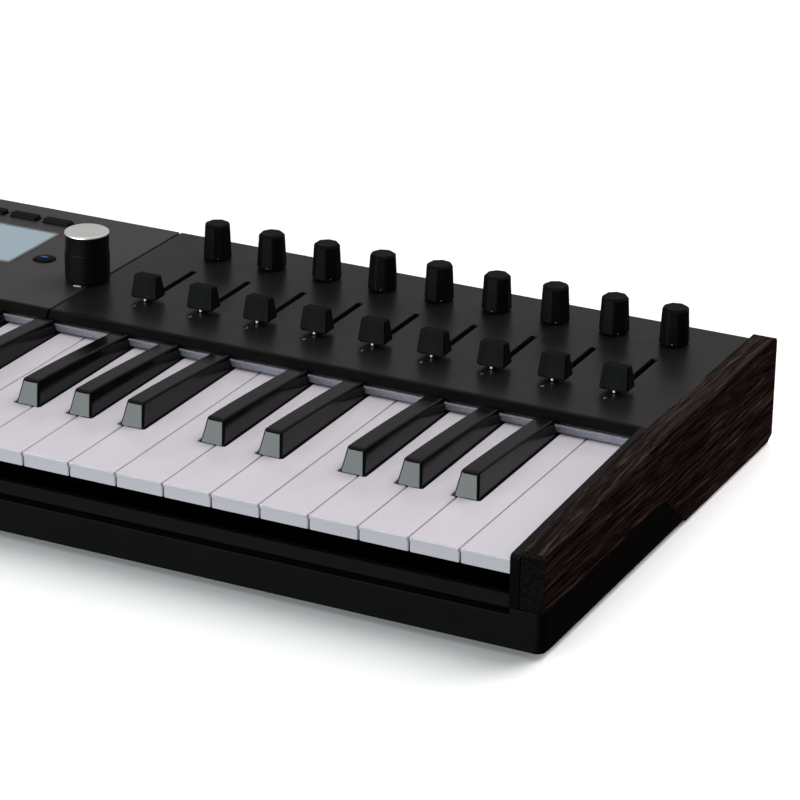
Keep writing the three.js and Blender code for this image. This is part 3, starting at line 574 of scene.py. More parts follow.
def make_rear():
    """The rear plate with its square port, two round ports, three jacks and a lock slot."""
    low, high = box("rear_plate")
    plate_front = box("lower_case")[1].y + GAP
    holes = [circle(-x, SOCKET_Z, DIN_HOLE, 40) for x in DIN_SPOTS]
    holes += [circle(-x, SOCKET_Z, JACK_HOLE, 32) for x in JACK_SPOTS]
    port = rect(
        -USB_SPOT - USB_HALF_WIDTH, -USB_SPOT + USB_HALF_WIDTH,
        SOCKET_Z - USB_HALF_HEIGHT, SOCKET_Z + USB_HALF_HEIGHT,
    )
    holes += [rounded(port, 0.6), rounded(LOCK_SLOT, 0.5)]
    bm = bmesh.new()
    outline = rounded(rect(low.x, high.x, low.z, high.z), 1.5)
    plate(bm, outline, holes, 0, high.y - plate_front, 0.5)
    # The plate is made lying down, so x is mirrored, y becomes z, and z becomes y.
    face_back = Matrix(((-1, 0, 0, 0), (0, 0, 1, plate_front), (0, 1, 0, 0), (0, 0, 0, 1)))
    move(bm, face_back)
    piece("rear_plate_face", bm, CASE, stands_for=["rear_plate"])
    inside = low.y
    for index, x in enumerate(DIN_SPOTS, 1):
        bm = bmesh.new()
        tube_y(bm, x, SOCKET_Z, 7.55, 6.4, inside, high.y - 0.2)
        prism(bm, circle(x, SOCKET_Z, 6.6, 40), "Y", inside, inside + 1.5)
        for degrees in (180, 225, 270, 315, 360):
            angle = math.radians(degrees)
            pin = (x + PIN_CIRCLE * math.cos(angle), SOCKET_Z - PIN_CIRCLE * math.sin(angle))
            tube_y(bm, *pin, 1.1, 0.7, inside + 1.4, inside + 3)
        soften(bm, 0.15, 2, 50)
        piece(f"round_port_{index}", bm, SOCKET)
    for index, x in enumerate(JACK_SPOTS, 1):
        bm = bmesh.new()
        tube_y(bm, x, SOCKET_Z, 3.85, 3.2, inside, high.y - 0.1, 32)
        piece(f"jack_barrel_{index}", bm, SOCKET)
        bm = bmesh.new()
        tube_y(bm, x, SOCKET_Z, 5.4, 3.7, high.y - 0.6, high.y + 0.5, 6)
        soften(bm, 0.25, 2)
        piece(f"jack_nut_{index}", bm, NICKEL)
    bm = bmesh.new()
    block(bm, USB_SPOT - 6, USB_SPOT + 6, inside, inside + 1, SOCKET_Z - 5.4, SOCKET_Z + 5.4)
    block(bm, USB_SPOT - 2.8, USB_SPOT + 2.8, inside + 0.9, high.y - 2, SOCKET_Z - 1.6, SOCKET_Z + 1.6)
    soften(bm, 0.3, 2)
    piece("square_port_tongue", bm, SOCKET)


# ---- Panels ----
RIM = 0.4
SEAM = 0.5  # how far each panel stands back from its neighbour, beyond the CAD gap
SLOT_WIDTH = 3
BLADE = 5  # depth of the blade that carries a fader cap
SHAFT_HOLE = 3.6
ENCODER_HOLE = 3.8
RAIL_NOSE = 1.2  # the cut corner at the front end of a rail
WALL_REAR = 2.8  # how far a side wall stays clear of the panel's rear edge


def rail_top(y):
    slope = (PANEL_TOP - RAIL_FRONT_TOP) / (PANEL_FRONT - FRONT)
    return RAIL_FRONT_TOP + (y - FRONT) * slope


def make_lip(name, x0, x1):
    """The sloped strip that closes the front of a panel, with a rounded nose along its top."""
    nose = 1.6  # how far the nose reaches back over the panel's front edge
    outline = [
        (PANEL_FRONT + nose, PANEL_TOP + 0.06), (PANEL_FRONT - 0.3, PANEL_TOP + 0.06),
        (PANEL_FRONT - LIP_LEAN, LIP_LOW), (PANEL_FRONT - 0.8, LIP_LOW),
        (PANEL_FRONT + 1, PANEL_UNDER), (PANEL_FRONT + nose, PANEL_UNDER),
    ]
    bm = bmesh.new()
    prism(bm, rounded(outline, [0, 1.5, 0.5, 0, 0, 0], 6), "X", x0, x1)
    piece(name, bm, EDGE)


def make_rail(x0, x1):
    """The strip beside the keys, sloping down towards the player."""
    top = PANEL_TOP - 0.02
    nose = FRONT + RAIL_NOSE
    outline = [
        (FRONT, CASE_SHOULDER + GAP), (CREASE, CASE_SHOULDER + GAP), (CREASE, top),
        (PANEL_FRONT, top), (nose, rail_top(nose)), (FRONT, RAIL_FRONT_TOP - RAIL_NOSE),
    ]
    bm = bmesh.new()
    prism(bm, outline, "X", x0, x1)
    soften(bm, 0.35, 3, sharp=25, pick=lambda p: p.y < PANEL_FRONT - 1)
    piece("panel_right_rail", bm, EDGE)


def add_side_wall(bm, x0, x1, rear):
    """The wall under a panel, along a cheek."""
    block(bm, x0, x1, CREASE, rear - WALL_REAR, CASE_SHOULDER + GAP, PANEL_UNDER + WELD)


def make_right_panel():
    """The treble end: holes for nine knobs, slots for nine faders, and the rail beside the keys."""
    low, high = box("panel_right")
    reach = travel("fader_1_slide")
    holes = []
    for channel in CHANNELS:
        knob = middle(f"knob_{channel}")
        fader = middle(f"fader_cap_{channel}")
        slot_start = fader.y - BLADE / 2 - 1
        slot_end = slot_start + reach + BLADE + 2
        holes.append(circle(knob.x, knob.y, SHAFT_HOLE))
        holes.append(slot_outline(fader.x, slot_start, slot_end, SLOT_WIDTH))
    bm = bmesh.new()
    start = low.x + SEAM
    rail = high.x - RAIL_WIDTH
    plate(bm, rect(start, high.x, PANEL_FRONT, high.y), holes, PANEL_UNDER, PANEL_TOP, RIM)
    add_side_wall(bm, rail, high.x, high.y)
    piece("panel_right_skin", bm, PANEL, stands_for=["panel_right"])
    make_lip("panel_right_lip", start, rail + 0.05)
    make_rail(rail, high.x)


# Buttons and pads are (x, y, width, depth).
ROW_BUTTONS = [(x, 111.25, 15.9, 5.5) for x in (-42.2, -22.7, -3.2, 16.3)]
COLUMN_BUTTONS = [(-92, y, 22, 8) for y in (56, 73.5, 91)]
TRANSPORT_BUTTONS = [(x, y, 20, 10) for y in (38, 66, 94) for x in (-362, -334)]
PADS = [(x, y, 26, 26) for y in (34, 66, 98) for x in (-272, -240, -208, -176)]
BUTTON_ROOM = 0.4  # play between a button or the screen and its hole


def button_outline(button, margin, radius):
    x, y, width, depth = button
    half_width, half_depth = width / 2 + margin, depth / 2 + margin
    return rounded(rect(x - half_width, x + half_width, y - half_depth, y + half_depth), radius)


def make_centre_panel():
    """The plate round the screen, with holes for its buttons and the encoder."""
    low, high = box("panel_centre")
    dial = middle("main_encoder")
    press = middle("round_button")
    holes = [
        footprint(*box("screen_lens"), BUTTON_ROOM, 0.8),
        circle(dial.x, dial.y, ENCODER_HOLE),
        circle(press.x, press.y, (box("round_button")[1].x - press.x) - 1, 40),
    ]
    holes += [button_outline(button, BUTTON_ROOM, 1) for button in ROW_BUTTONS + COLUMN_BUTTONS]
    bm = bmesh.new()
    start, stop = low.x + SEAM, high.x - SEAM
    plate(bm, rect(start, stop, PANEL_FRONT, high.y), holes, PANEL_UNDER, PANEL_TOP, RIM)
    piece("panel_centre_skin", bm, PANEL_LIGHT, stands_for=["panel_centre"])
    make_lip("panel_centre_lip", start, stop)


WHEELS = ("pitch_wheel", "mod_wheel")
AXLE_STUB = 3  # how far a wheel's axle stands out at each side


def wheel_hub(node):
    """A wheel's centre and radius, from its depth, since a finger dent lowers its top."""
    low, high = box(node)
    radius = (high.y - low.y) / 2
    centre = middle(node)
    centre.z = low.z + radius
    return centre, radius


def make_left_panel():
    """The bass end: a level plate with pads and buttons, and a sloping bay with the two wheels."""
    low, high = box("panel_left")
    bay_right = box("key_felt")[0].x - 0.8
    bm = bmesh.new()
    holes = [button_outline(button, BUTTON_ROOM, 1.2) for button in TRANSPORT_BUTTONS + PADS]
    plate(bm, rect(low.x, high.x - SEAM, PANEL_FRONT, high.y), holes, PANEL_UNDER, PANEL_TOP, RIM)
    add_side_wall(bm, low.x, low.x + RAIL_WIDTH, high.y)

    tilt = math.atan2(PANEL_TOP - RAIL_FRONT_TOP, PANEL_FRONT - FRONT)
    length = (PANEL_FRONT - FRONT) / math.cos(tilt)
    slots = []
    for wheel in WHEELS:
        wheel_low, wheel_high = box(wheel)
        centre, radius = wheel_hub(wheel)
        half = (wheel_high.x - wheel_low.x) / 2 - AXLE_STUB + 1
        sink = rail_top(centre.y) - PANEL_THICK - centre.z
        reach = math.sqrt(radius ** 2 - sink ** 2) + 1.5
        along = (centre.y - FRONT) / math.cos(tilt)
        slots.append(rounded(rect(centre.x - half, centre.x + half, along - reach, along + reach), 1.2))
    slope = bmesh.new()
    plate(slope, rect(low.x, bay_right, 0.6, length + 0.5), slots, -PANEL_THICK, 0, RIM)
    lift = Matrix.Translation((0, FRONT, RAIL_FRONT_TOP - 0.02)) @ Matrix.Rotation(tilt, 4, "X")
    move(slope, lift)
    absorb(bm, slope)
    walls = bmesh.new()
    nose = FRONT + RAIL_NOSE
    nose_foot = (FRONT, RAIL_FRONT_TOP - RAIL_NOSE)
    side = [
        (FRONT, CASE_SHOULDER + GAP), (CREASE, CASE_SHOULDER + GAP), (CREASE, PANEL_UNDER + WELD),
        (nose, rail_top(nose) - 0.6), nose_foot,
    ]
    prism(walls, side, "X", low.x, low.x + THIN_WALL)
    prism(walls, side, "X", bay_right - THIN_WALL, bay_right)
    inner = FRONT + THIN_WALL
    front = [
        (FRONT, CASE_SHOULDER + GAP), (inner, CASE_SHOULDER + GAP), (inner, RAIL_FRONT_TOP - 0.4),
        (nose, rail_top(nose) - 0.05), nose_foot,
    ]
    prism(walls, front, "X", low.x, bay_right)
    absorb(bm, walls)
    piece("panel_left_skin", bm, PANEL, stands_for=["panel_left"])
    make_lip("panel_left_lip", bay_right, high.x - SEAM)


# ---- Buttons, pads and the screen ----
def make_mat(name, node, buttons, material, corner, edge, sheets):
    """Moulded buttons that stand up from one sheet."""
    low, high = box(node)
    bm = bmesh.new()
    for button in buttons:
        part = bmesh.new()
        prism(part, button_outline(button, 0, corner), "Z", low.z + 1.2, high.z)
        soften(part, edge, 4, pick=lambda p: p.z > high.z - NEAR)
        absorb(bm, part)
    for x0, x1, y0, y1 in sheets:
        block(bm, x0, x1, y0, y1, low.z, low.z + 1.3)
    piece(name, bm, material, body=node, stands_for=[node])


def make_mats():
    make_mat(
        "screen_button_mat", "screen_buttons", ROW_BUTTONS + COLUMN_BUTTONS, RUBBER,
        corner=1.4, edge=0.7, sheets=[(-108, 30, 103, 118), (-108, -76, 48, 104)],
    )
    make_mat(
        "transport_button_mat", "transport_buttons", TRANSPORT_BUTTONS, RUBBER,
        corner=1.6, edge=0.7, sheets=[(-376, -320, 30, 102)],
    )
    make_mat(
        "drum_pad_mat", "pad_sheet", PADS, PAD,
        corner=2, edge=1.0, sheets=[(-290, -158, 16, 116)],
    )


def make_round_button():
    """A domed button with a plain mark of three bars, on a stem with a flange under the panel."""
    low, high = box("round_button")
    centre = middle("round_button")
    stem = 2
    flange_width = 1.4
    flange_low, flange_high = low.z + 2.8, low.z + 4.2
    radius = high.x - centre.x - flange_width
    flange = radius + flange_width
    dome_height = 0.9
    dome_steps = 7
    turns = [math.pi / 2 * step / dome_steps for step in range(dome_steps)]
    dome = [(radius * math.cos(a), high.z - dome_height + dome_height * math.sin(a)) for a in turns]
    profile = [
        (stem, low.z), (stem, flange_low), (flange, flange_low), (flange, flange_high), (radius, flange_high),
        *dome, (0.4, high.z),
    ]
    bm = bmesh.new()
    lathe(bm, profile, centre.x, centre.y, 56)
    piece("round_button_cap", bm, CONTROL, body="round_button", stands_for=["round_button"])
    bm = bmesh.new()
    for offset in (-1.3, 0, 1.3):
        x = centre.x + offset
        bar = rect(x - 0.4, x + 0.4, centre.y - 0.7, centre.y + 0.9)
        prism(bm, rounded(bar, 0.3), "Z", high.z - 0.2, high.z + 0.03)
    piece("round_button_mark", bm, BLUE_PRINT, body="round_button")


def make_screen():
    """The lit window, in a thin bezel that stands a little higher."""
    low, high = box("screen_lens")
    bm = bmesh.new()
    plate(bm, footprint(low, high, 0, 0.7), [footprint(low, high, -1.3, 0.5)], low.z, high.z, 0.25)
    piece("screen_bezel", bm, BEZEL)
    bm = bmesh.new()
    prism(bm, footprint(low, high, -0.8, 0.5), "Z", low.z, high.z - 0.35)
    soften(bm, 0.1, 2)
    piece("screen_face", bm, DISPLAY, stands_for=["screen_lens"])


# ---- Knobs, encoder, faders and wheels ----
KNOB_SIDES = 8
KNOB_TURNS = (8, -14, 20, -4, 12, -18, 5, 16, -9)  # degrees each knob is turned at rest


def make_knob(channel, turned):
    """A tapered eight-sided knob with soft corners, and a pale mark at the foot of one side."""
    node = f"knob_{channel}"
    low, high = box(node)
    centre = middle(node)
    base = high.y - centre.y
    top = base - 0.9
    shaft = 3.2
    bm = bmesh.new()
    corners = circle(0, 0, 1, KNOB_SIDES)
    profile = [(base - 0.5, low.z), (base, low.z + 0.6), (top, high.z - 1), (top - 1.1, high.z)]
    skin(bm, [[(dx * r, dy * r, z) for dx, dy in corners] for r, z in profile])
    soften(bm, 0.9, 4, pick=lambda p: low.z + 1 < p.z < high.z - 1.2)
    soften(bm, 0.3, 2, sharp=28)
    prism(bm, circle(0, 0, shaft, 24), "Z", low.z - 4, low.z + 0.1)
    spin = Matrix.Translation((centre.x, centre.y, 0)) @ Matrix.Rotation(math.radians(turned), 4, "Z")
    move(bm, spin)
    piece(f"knob_{channel}_shell", bm, CONTROL, body=node, stands_for=[node])
    bm = bmesh.new()
    face = -base * math.cos(math.pi / KNOB_SIDES) - 0.02
    facing = Matrix.Rotation(math.pi / KNOB_SIDES, 4, "Z")
    block(bm, -0.3, 0.3, face, face + 1, low.z + 0.7, low.z + 1.2)
    move(bm, spin @ facing)
    soften(bm, 0.1, 2)
    piece(f"knob_{channel}_mark", bm, GREY_PRINT, body=node)


def make_encoder():
    """A plain drum with a groove under its brushed metal disc, and a pale index on the panel."""
    node = "main_encoder"
    low, high = box(node)
    centre = middle(node)
    radius = high.x - centre.x
    groove = PANEL_TOP + 15  # height of the line round the drum
    disc = 1.1  # thickness of the metal disc
    profile = [
        (radius - 0.7, low.z), (radius - 0.2, low.z + 0.4), (radius, low.z + 1.2), (radius, groove - 0.3),
        (radius - 0.25, groove), (radius - 0.3, groove + 0.3), (radius - 0.25, high.z - disc - 0.1),
        (radius - 0.5, high.z - disc), (1, high.z - disc),
    ]
    bm = bmesh.new()
    lathe(bm, profile, centre.x, centre.y, 96)
    piece("encoder_body", bm, CONTROL, body=node, stands_for=[node])
    rim = [
        (radius - 0.3, high.z - disc), (radius - 0.05, high.z - disc + 0.15), (radius - 0.15, high.z - 0.45),
        (radius - 0.75, high.z - 0.05), (radius - 1.1, high.z), (0.2, high.z),
    ]
    bm = bmesh.new()
    lathe(bm, rim, centre.x, centre.y, 96)
    piece("encoder_disc", bm, STEEL, body=node)
    bm = bmesh.new()
    front = Vector((0.06, -1, 0)).normalized() * (radius - 0.3)
    index_turn = 0.1
    block(bm, -2.0, 2.0, -0.6, 0.6, PANEL_TOP - 0.05, PANEL_TOP + 0.25)
    soften(bm, 0.12, 2)
    place = Matrix.Translation((centre.x + front.x, centre.y + front.y, 0))
    move(bm, place @ Matrix.Rotation(index_turn, 4, "Z"))
    piece("encoder_index", bm, PALE_PRINT)


CAP_BOTTOM = 53.2
CAP_NARROWING = 1.7  # how much the cap's front and rear lean in


def cap_outline(half_width, half_depth, dip):
    """A fader cap's outline: round corners, and front and rear edges that dip inwards."""
    steps = 8
    corner = 0.9
    edge = []
    for step in range(steps + 1):
        share = step / steps * 2 - 1
        edge.append((share * (half_width - corner), -half_depth + dip * (1 - share ** 2)))
    x, y = half_width - corner, -half_depth + corner
    arc = [math.radians(degrees) for degrees in (-60, -30, 0)]
    edge += [(x + corner * math.cos(a), y + corner * math.sin(a)) for a in arc]
    mirrored = [(-x, -y) for x, y in edge]
    left = [(-x, y) for x, y in edge[steps + 1:]][::-1]
    right = [(x, -y) for x, y in edge[steps + 1:]][::-1]
    return edge + right + mirrored[:steps + 1] + left


def make_fader(channel):
    """A fader's cap on its blade, with a small pale ball in front of the blade."""
    node = f"fader_cap_{channel}"
    body = f"fader_{channel}"
    low, high = box(node)
    centre = middle(node)
    half_width = (high.x - low.x) / 2
    half_depth = (high.y - low.y) / 2
    foot = CAP_BOTTOM
    # Each level is its height, how far it is drawn in, and how far its front dips.
    levels = [
        (foot, 0.9, 0.3), (foot + 0.5, 0.25, 0.6), (foot + 1.0, 0, 0.75), (high.z - 0.9, 0.8, 0.75),
        (high.z - 0.3, 1.0, 0.6), (high.z, 1.5, 0.4),
    ]
    rings = []
    for z, inset, dip in levels:
        share = (z - foot) / (high.z - foot)
        outline = cap_outline(half_width - inset, half_depth - CAP_NARROWING * share - inset * 0.5, dip)
        rings.append([(centre.x + x, centre.y + y, z) for x, y in outline])
    bm = bmesh.new()
    skin(bm, rings)
    half_blade = BLADE / 2
    half_thick = 1.1
    block(
        bm, centre.x - half_thick, centre.x + half_thick, centre.y - half_blade, centre.y + half_blade,
        low.z, foot + WELD,
    )
    piece(f"fader_{channel}_cap", bm, CAP, body=body, stands_for=[node])
    bm = bmesh.new()
    front = centre.y - half_blade - 0.3
    heart = (foot + PANEL_TOP) / 2
    size = 0.7
    turns = [math.pi * step / 10 for step in range(1, 10)]
    ball = [(size * math.sin(a), heart - size * math.cos(a)) for a in turns]
    lathe(bm, ball, centre.x, front, 20)
    piece(f"fader_{channel}_dot", bm, PALE_PRINT, body=body)


NUMBER_SIZE = 3.2
NUMBER_AHEAD = 10.4  # how far a number stands in front of its fader at rest


def make_number(channel):
    """The channel's number, printed on the panel in front of its slot."""
    text = bpy.data.curves.new("number", "FONT")
    text.body = str(channel)
    text.size = NUMBER_SIZE
    text.align_x = "CENTER"
    text.align_y = "CENTER"
    mesh = mesh_of(text)
    fader = middle(f"fader_cap_{channel}")
    mesh.transform(Matrix.Translation((fader.x - 1.6, fader.y - NUMBER_AHEAD, PANEL_TOP + 0.03)))
    bm = bmesh.new()
    bm.from_mesh(mesh)
    bpy.data.meshes.remove(mesh)
    piece(f"number_{channel}", bm, GREY_PRINT)


def make_wheel(node, dents):
    """A ribbed wheel with finger dents; dents are angles in degrees from the top."""
    low, high = box(node)
    centre, radius = wheel_hub(node)
    half = (high.x - low.x) / 2 - AXLE_STUB
    ribs, rib_depth = 90, 0.12
    dent_span, dent_depth = 13, 0.9
    edge, drawn_in = 0.7, 0.965
    outline = []
    for angle in range(360):
        turn = math.radians(angle)
        depth = rib_depth * (1 + math.cos(turn * ribs))
        for dent in dents:
            away = abs((angle - dent + 180) % 360 - 180)
            if away < dent_span:
                depth = max(depth, dent_depth * (1 + math.cos(math.pi * away / dent_span)))
        reach = radius - depth
        outline.append((centre.y + reach * math.sin(turn), centre.z + reach * math.cos(turn)))
    inner = [(centre.y + (y - centre.y) * drawn_in, centre.z + (z - centre.z) * drawn_in) for y, z in outline]
    sections = [(-half, inner), (edge - half, outline), (half - edge, outline), (half, inner)]
    bm = bmesh.new()
    skin(bm, [[(centre.x + across, y, z) for y, z in section] for across, section in sections])
    prism(bm, circle(centre.y, centre.z, 3, 24), "X", low.x, high.x)
    piece(f"{node}_rim", bm, RUBBER, body=node, stands_for=[node])


# ---- Keys ----
BLACK_CLEARANCE = 1
SHARPS = {"C": "C_sharp", "D": "D_sharp", "F": "F_sharp", "G": "G_sharp", "A": "A_sharp"}


def black_centre(note, octave):
    """Where the black key after this white key is, along X."""
    return middle(f"key_{SHARPS[note]}_{TOP_OCTAVE}").x - (TOP_OCTAVE - octave) * 7 * KEY_PITCH


def add_white_key(bm, note, octave):
    """One white key: a top plate that overhangs the front, a body under it and the hinge tail."""
    step = NOTES.index(note) + 7 * (octave - TOP_OCTAVE)
    left = KEY_LOW.x + step * KEY_PITCH - KEY_SWELL
    right = left + KEY_HIGH.x - KEY_LOW.x + 2 * KEY_SWELL
    lower = NOTES[NOTES.index(note) - 1]
    half = BLACK_HALF + BLACK_CLEARANCE
    notch = BLACK_LOW.y - BLACK_CLEARANCE
    cut_left = lower in SHARPS
    cut_right = note in SHARPS and octave <= TOP_OCTAVE
    outline = [(left, KEY_FRONT), (right, KEY_FRONT)]
    radii = [0.7, 0.7]
    if cut_right:
        edge = black_centre(note, octave) - half
        outline += [(right, notch), (edge, notch), (edge, KEY_TAIL)]
        radii += [0.8, 1.0, 0]
    else:
        outline.append((right, KEY_TAIL))
        radii.append(0)
    if cut_left:
        edge = black_centre(lower, octave) + half
        outline += [(edge, KEY_TAIL), (edge, notch), (left, notch)]
        radii += [0, 1.0, 0.8]
    else:
        outline.append((left, KEY_TAIL))
        radii.append(0)
    cover = 2.0
    part = bmesh.new()
    prism(part, rounded(outline, radii, 4), "Z", KEY_TOP - cover, KEY_TOP)
    soften(part, 0.75, 4, pick=lambda p: p.z > KEY_TOP - 0.05)
    soften(part, 0.2, 2, sharp=60, pick=lambda p: p.z < KEY_TOP - cover + 0.05 and p.y < KEY_FRONT + 1)
    absorb(bm, part)
    setback = 0.8
    inner = [(x, y + setback if y < KEY_FRONT + 0.1 else y) for x, y in outline]
    part = bmesh.new()
    prism(part, rounded(inner, radii, 4), "Z", KEY_TOP - KEY_DEPTH, KEY_TOP - cover)
    soften(part, 0.3, 2, sharp=60, pick=lambda p: p.z < KEY_TOP - KEY_DEPTH + 0.05)
    absorb(bm, part)
    plain, beside_black = 1, 6  # how far the hinge tail stands in from the key's side
    tail_left = left + (beside_black if cut_left else plain)
    tail_right = right - (beside_black if cut_right else plain)
    block(bm, tail_left, tail_right, KEY_TAIL - 1, KEY_HIGH.y, *WHITE_TAIL)
    inset = WHITE_PLUNGER_INSET
    block(bm, left + inset, right - inset, *PLUNGER_Y, KEY_LOW.z, KEY_TOP - KEY_DEPTH + WELD)


def black_section(top, inset):
    """A black key's upright section, drawn in by inset: narrow at the top, with round edges."""
    half = BLACK_HALF - inset
    half_top = half - BLACK_TAPER
    corner = max(BLACK_EDGE - inset, 0.1)
    shoulder = [(half, BLACK_BASE), (half, KEY_TOP), (half_top, top - inset)]
    points = [(-half, BLACK_BASE), *shoulder, (-half_top, top - inset), (-half, KEY_TOP)]
    outline = rounded(points, [0, 0, 2, corner, corner, 2], 4)
    crown = 0.25
    return [(a, b - crown * (a / half_top) ** 2 if b > top - inset - 0.02 else b) for a, b in outline]


def add_black_key(bm, note, octave):
    """One black key: tapered, crowned, with a sloped front, round edges and a falling top."""
    x = black_centre(note, octave)
    half = BLACK_HALF
    front, front_top = BLACK_LOW.y, BLACK_HIGH.z
    lean = 3.6
    rings = []
    nose_steps = 5
    for step in range(nose_steps + 1):
        angle = math.pi / 2 * step / nose_steps
        inset = BLACK_EDGE * (1 - math.sin(angle))
        back = BLACK_EDGE * (1 - math.cos(angle))
        rings.append([
            (x + a, front + back + lean * (b - KEY_TOP) / (front_top - KEY_TOP), b)
            for a, b in black_section(front_top, inset)
        ])
    stations = 9
    start = front + lean + BLACK_EDGE
    for station in range(1, stations + 1):
        share = station / stations
        along = start + (BLACK_REAR - start) * share
        top = front_top - (front_top - BLACK_REAR_TOP) * share ** 1.25
        rings.append([(x + a, along, b) for a, b in black_section(top, 0)])
    part = bmesh.new()
    skin(part, rings)
    soften(part, 0.4, 2, sharp=50, pick=lambda p: p.y > BLACK_REAR - NEAR)
    absorb(bm, part)
    block(bm, x - half, x + half, front + 0.2, BLACK_REAR, BLACK_FOOT, BLACK_BASE + 0.1)
    block(bm, x - half + 0.5, x + half - 0.5, BLACK_REAR - 1, BLACK_HIGH.y, *BLACK_TAIL)
    plunger = BLACK_PLUNGER_HALF
    block(bm, x - plunger, x + plunger, *PLUNGER_Y, BLACK_LOW.z, BLACK_FOOT + 1)


def add_hinge_bar(bm, x0, x1, front, rear, tail):
    """The bar that joins the tails of an octave of keys."""
    low, high = tail
    block(bm, x0, x1, front, rear - 0.05, low + 0.1, high - 0.1)


def make_keys():
    """The three lower octaves as combs of white and of black keys, then the top one key by key."""
    for octave in LOW_OCTAVES:
        bm = bmesh.new()
        for note in NOTES:
            add_white_key(bm, note, octave)
        start = KEY_LOW.x + (octave - TOP_OCTAVE) * 7 * KEY_PITCH
        add_hinge_bar(bm, start + 0.2, start + 7 * KEY_PITCH - 1.2, KEY_TAIL + 2, KEY_HIGH.y, WHITE_TAIL)
        node = f"white_keys_octave_{octave}"
        piece(f"white_key_row_{octave}", bm, IVORY, body=node, stands_for=[node])
        bm = bmesh.new()
        for note in SHARPS:
            add_black_key(bm, note, octave)
        inner = BLACK_HALF - 0.6
        start, stop = black_centre("C", octave) - inner, black_centre("A", octave) + inner
        add_hinge_bar(bm, start, stop, KEY_TAIL + 1, BLACK_HIGH.y, BLACK_TAIL)
        node = f"black_keys_octave_{octave}"
        piece(f"black_key_row_{octave}", bm, EBONY, body=node, stands_for=[node])
    for note, octave in [(n, TOP_OCTAVE) for n in NOTES] + [("C", TOP_OCTAVE + 1)]:
        node = f"key_{note}{octave}"
        bm = bmesh.new()
        add_white_key(bm, note, octave)
        piece(f"{node}_cover", bm, IVORY, body=node, stands_for=[node])
        if note in SHARPS and octave == TOP_OCTAVE:
            node = f"key_{SHARPS[note]}_{octave}"
            bm = bmesh.new()
            add_black_key(bm, note, octave)
            piece(f"{node}_cover", bm, EBONY, body=node, stands_for=[node])


def make_felt():
    """The felt strip behind the keys, its face slightly uneven."""
    low, high = box("key_felt")
    bm = bmesh.new()
    steps = 340
    outline = rounded(rect(low.y, high.y, low.z, high.z), 0.6, 3)
    rings = []
    for step in range(steps + 1):
        x = low.x + (high.x - low.x) * step / steps
        wave = 0.12 * math.sin(step * 2.4) + 0.08 * math.sin(step * 5.7 + 1)  # two uneven ripples
        rings.append([
            (x, y + (wave if y < (low.y + high.y) / 2 else 0), z + (0.5 * wave if z > high.z - 1 else 0))
            for y, z in outline
        ])
    skin(bm, rings)
    piece("felt_strip", bm, FELT, stands_for=["key_felt"])


# ---- Carried-over CAD nodes ----
INNER_MATERIALS = {
    "key_frame": INNER, "wheel_housing": INNER, "key_contact_board": BOARD, "control_board": BOARD,
    "display_module": SHEET_METAL,
}


def dress_inner_nodes():
    for node, material in INNER_MATERIALS.items():
        slots = frame["nodes"][node].data.materials
        slots.clear()
        slots.append(material)


# ---- Stage: floor, light and camera ----
FLOOR_RADIUS = 14  # metres


def make_floor():
    """A pale round floor that takes shadows, but lights and colours nothing itself."""
    bm = bmesh.new()
    bmesh.ops.create_circle(bm, cap_ends=True, segments=64, radius=FLOOR_RADIUS)
    mesh = bpy.data.meshes.new("floor")
    bm.to_mesh(mesh)
    bm.free()
    made, tree, shader = new_material("studio_floor", Roughness=0.9, Specular_IOR_Level=0.0)
    tones = [(0.3, (0.90, 0.90, 0.90)), (0.7, (0.93, 0.93, 0.93))]
    set_inputs(shader, Base_Color=ramp(tree, noise(tree, 900, 2), tones))
    mesh.materials.append(made)
    floor = add_object("floor", mesh)
    floor.visible_glossy = False
    floor.visible_diffuse = False


def make_world():
    """A studio: nearly black up to the horizon, dim grey above it and pale overhead."""
    world = bpy.data.worlds.new("studio")
    world.use_nodes = True
    bpy.context.scene.world = world
    tree = world.node_tree
    ray = add_node(tree, "SeparateXYZ", Vector=add_node(tree, "TexCoord").outputs["Generated"])
    stops = [(0.0, (0.02,) * 3), (0.10, (0.06,) * 3), (0.60, (0.10,) * 3), (1.0, (0.70,) * 3)]
    set_inputs(tree.nodes["Background"], Color=ramp(tree, ray.outputs["Z"], stops), Strength=1.0)


def aim(thing, place, target):
    thing.location = place
    thing.rotation_mode = "QUATERNION"
    thing.rotation_quaternion = (Vector(target) - Vector(place)).to_track_quat("-Z", "Y")


def add_softbox(name, place, target, width, height, radiance, colour, glossy=True):
    """A lit rectangle; without glossy it lights the part but isn't mirrored in it."""
    light = bpy.data.lights.new(name, "AREA")
    light.shape = "RECTANGLE"
    light.size = width
    light.size_y = height
    light.color = colour
    light.energy = radiance * math.pi * width * height
    thing = add_object(name, light)
    thing.visible_glossy = glossy
    aim(thing, place, target)


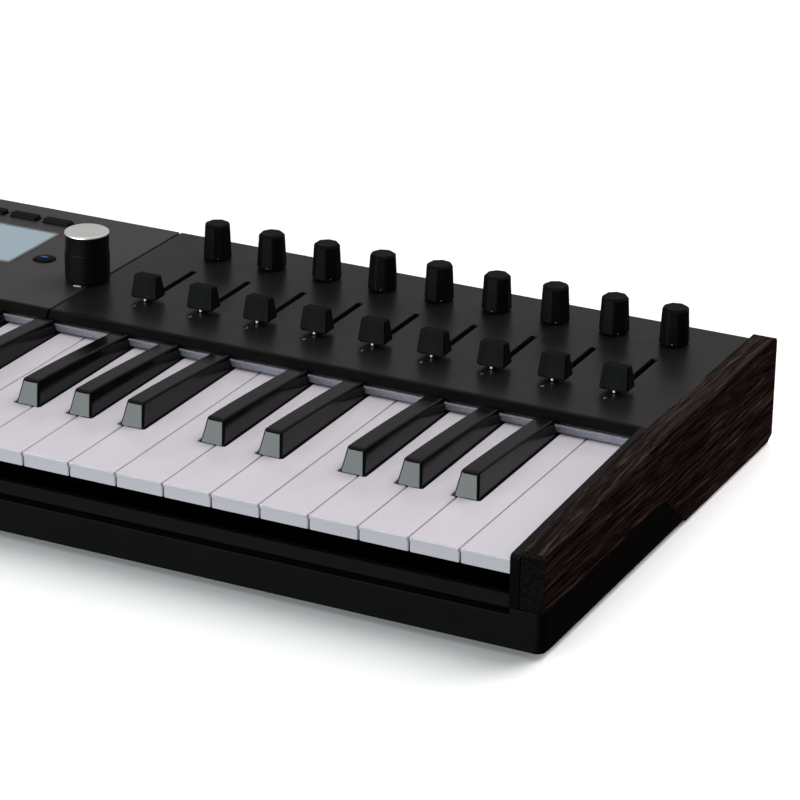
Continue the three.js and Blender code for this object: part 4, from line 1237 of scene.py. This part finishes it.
def make_lights():
    add_softbox(
        "front_box", (-1.0, -2.6, 0.50), (0.25, -0.08, 0.04),
        width=3.6, height=0.85, radiance=10.5, colour=(0.90, 0.99, 1.0),
    )
    add_softbox(
        "rear_wall", (-0.6, 3.2, 1.2), (0.1, 0.0, 0.05),
        width=6.0, height=2.4, radiance=0.19, colour=(1.0, 0.98, 0.97),
    )
    add_softbox(
        "right_strip", (1.0, 1.10, 0.30), (0.4, 0.1, 0.03),
        width=0.8, height=0.45, radiance=13.0, colour=(1.0, 0.95, 0.93), glossy=False,
    )
    sun = bpy.data.lights.new("overhead", "SUN")
    sun.energy = 2.8
    sun.angle = math.radians(55)
    thing = add_object("overhead", sun)
    thing.visible_glossy = False
    aim(thing, (0.3, 1.0, 1.5), (0, 0, 0))


# Fitted to the photo. Angles are in degrees, distances in metres and the lens in millimetres.
CAMERA_AZIMUTH = 26.111
CAMERA_ELEVATION = 22.3135
CAMERA_ROLL = 0.88177
CAMERA_DISTANCE = 1.53923
CAMERA_TARGET = Vector((0.27526, -0.01908, 0.05195))
CAMERA_LENS = 155.106


def make_camera():
    turned, rise = math.radians(CAMERA_AZIMUTH), math.radians(CAMERA_ELEVATION)
    back = Vector((
        math.sin(turned) * math.cos(rise), -math.cos(turned) * math.cos(rise), math.sin(rise),
    ))
    level = Vector((math.cos(turned), math.sin(turned), 0))
    above = back.cross(level)
    roll = math.radians(CAMERA_ROLL)
    right = level * math.cos(roll) + above * math.sin(roll)
    up = back.cross(right)
    data = bpy.data.cameras.new("camera")
    data.lens = CAMERA_LENS
    data.sensor_width = 36
    data.clip_start = 0.05
    camera = add_object("camera", data)
    facing = Matrix((right, up, back)).transposed().to_4x4()
    camera.matrix_world = Matrix.Translation(CAMERA_TARGET + back * CAMERA_DISTANCE) @ facing
    bpy.context.scene.camera = camera
    bpy.context.scene.view_settings.view_transform = "Standard"


make_camera()
make_world()
make_lights()
make_floor()
make_case()
make_cheek("cheek_right", 1)
make_cheek("cheek_left", -1)
make_feet()
make_rear()
make_right_panel()
make_centre_panel()
make_left_panel()
make_mats()
make_round_button()
make_screen()
for channel, turned in zip(CHANNELS, KNOB_TURNS):
    make_knob(channel, turned)
    make_fader(channel)
    make_number(channel)
make_encoder()
make_wheel("pitch_wheel", [0])
make_wheel("mod_wheel", [0, -60])
make_keys()
make_felt()
dress_inner_nodes()
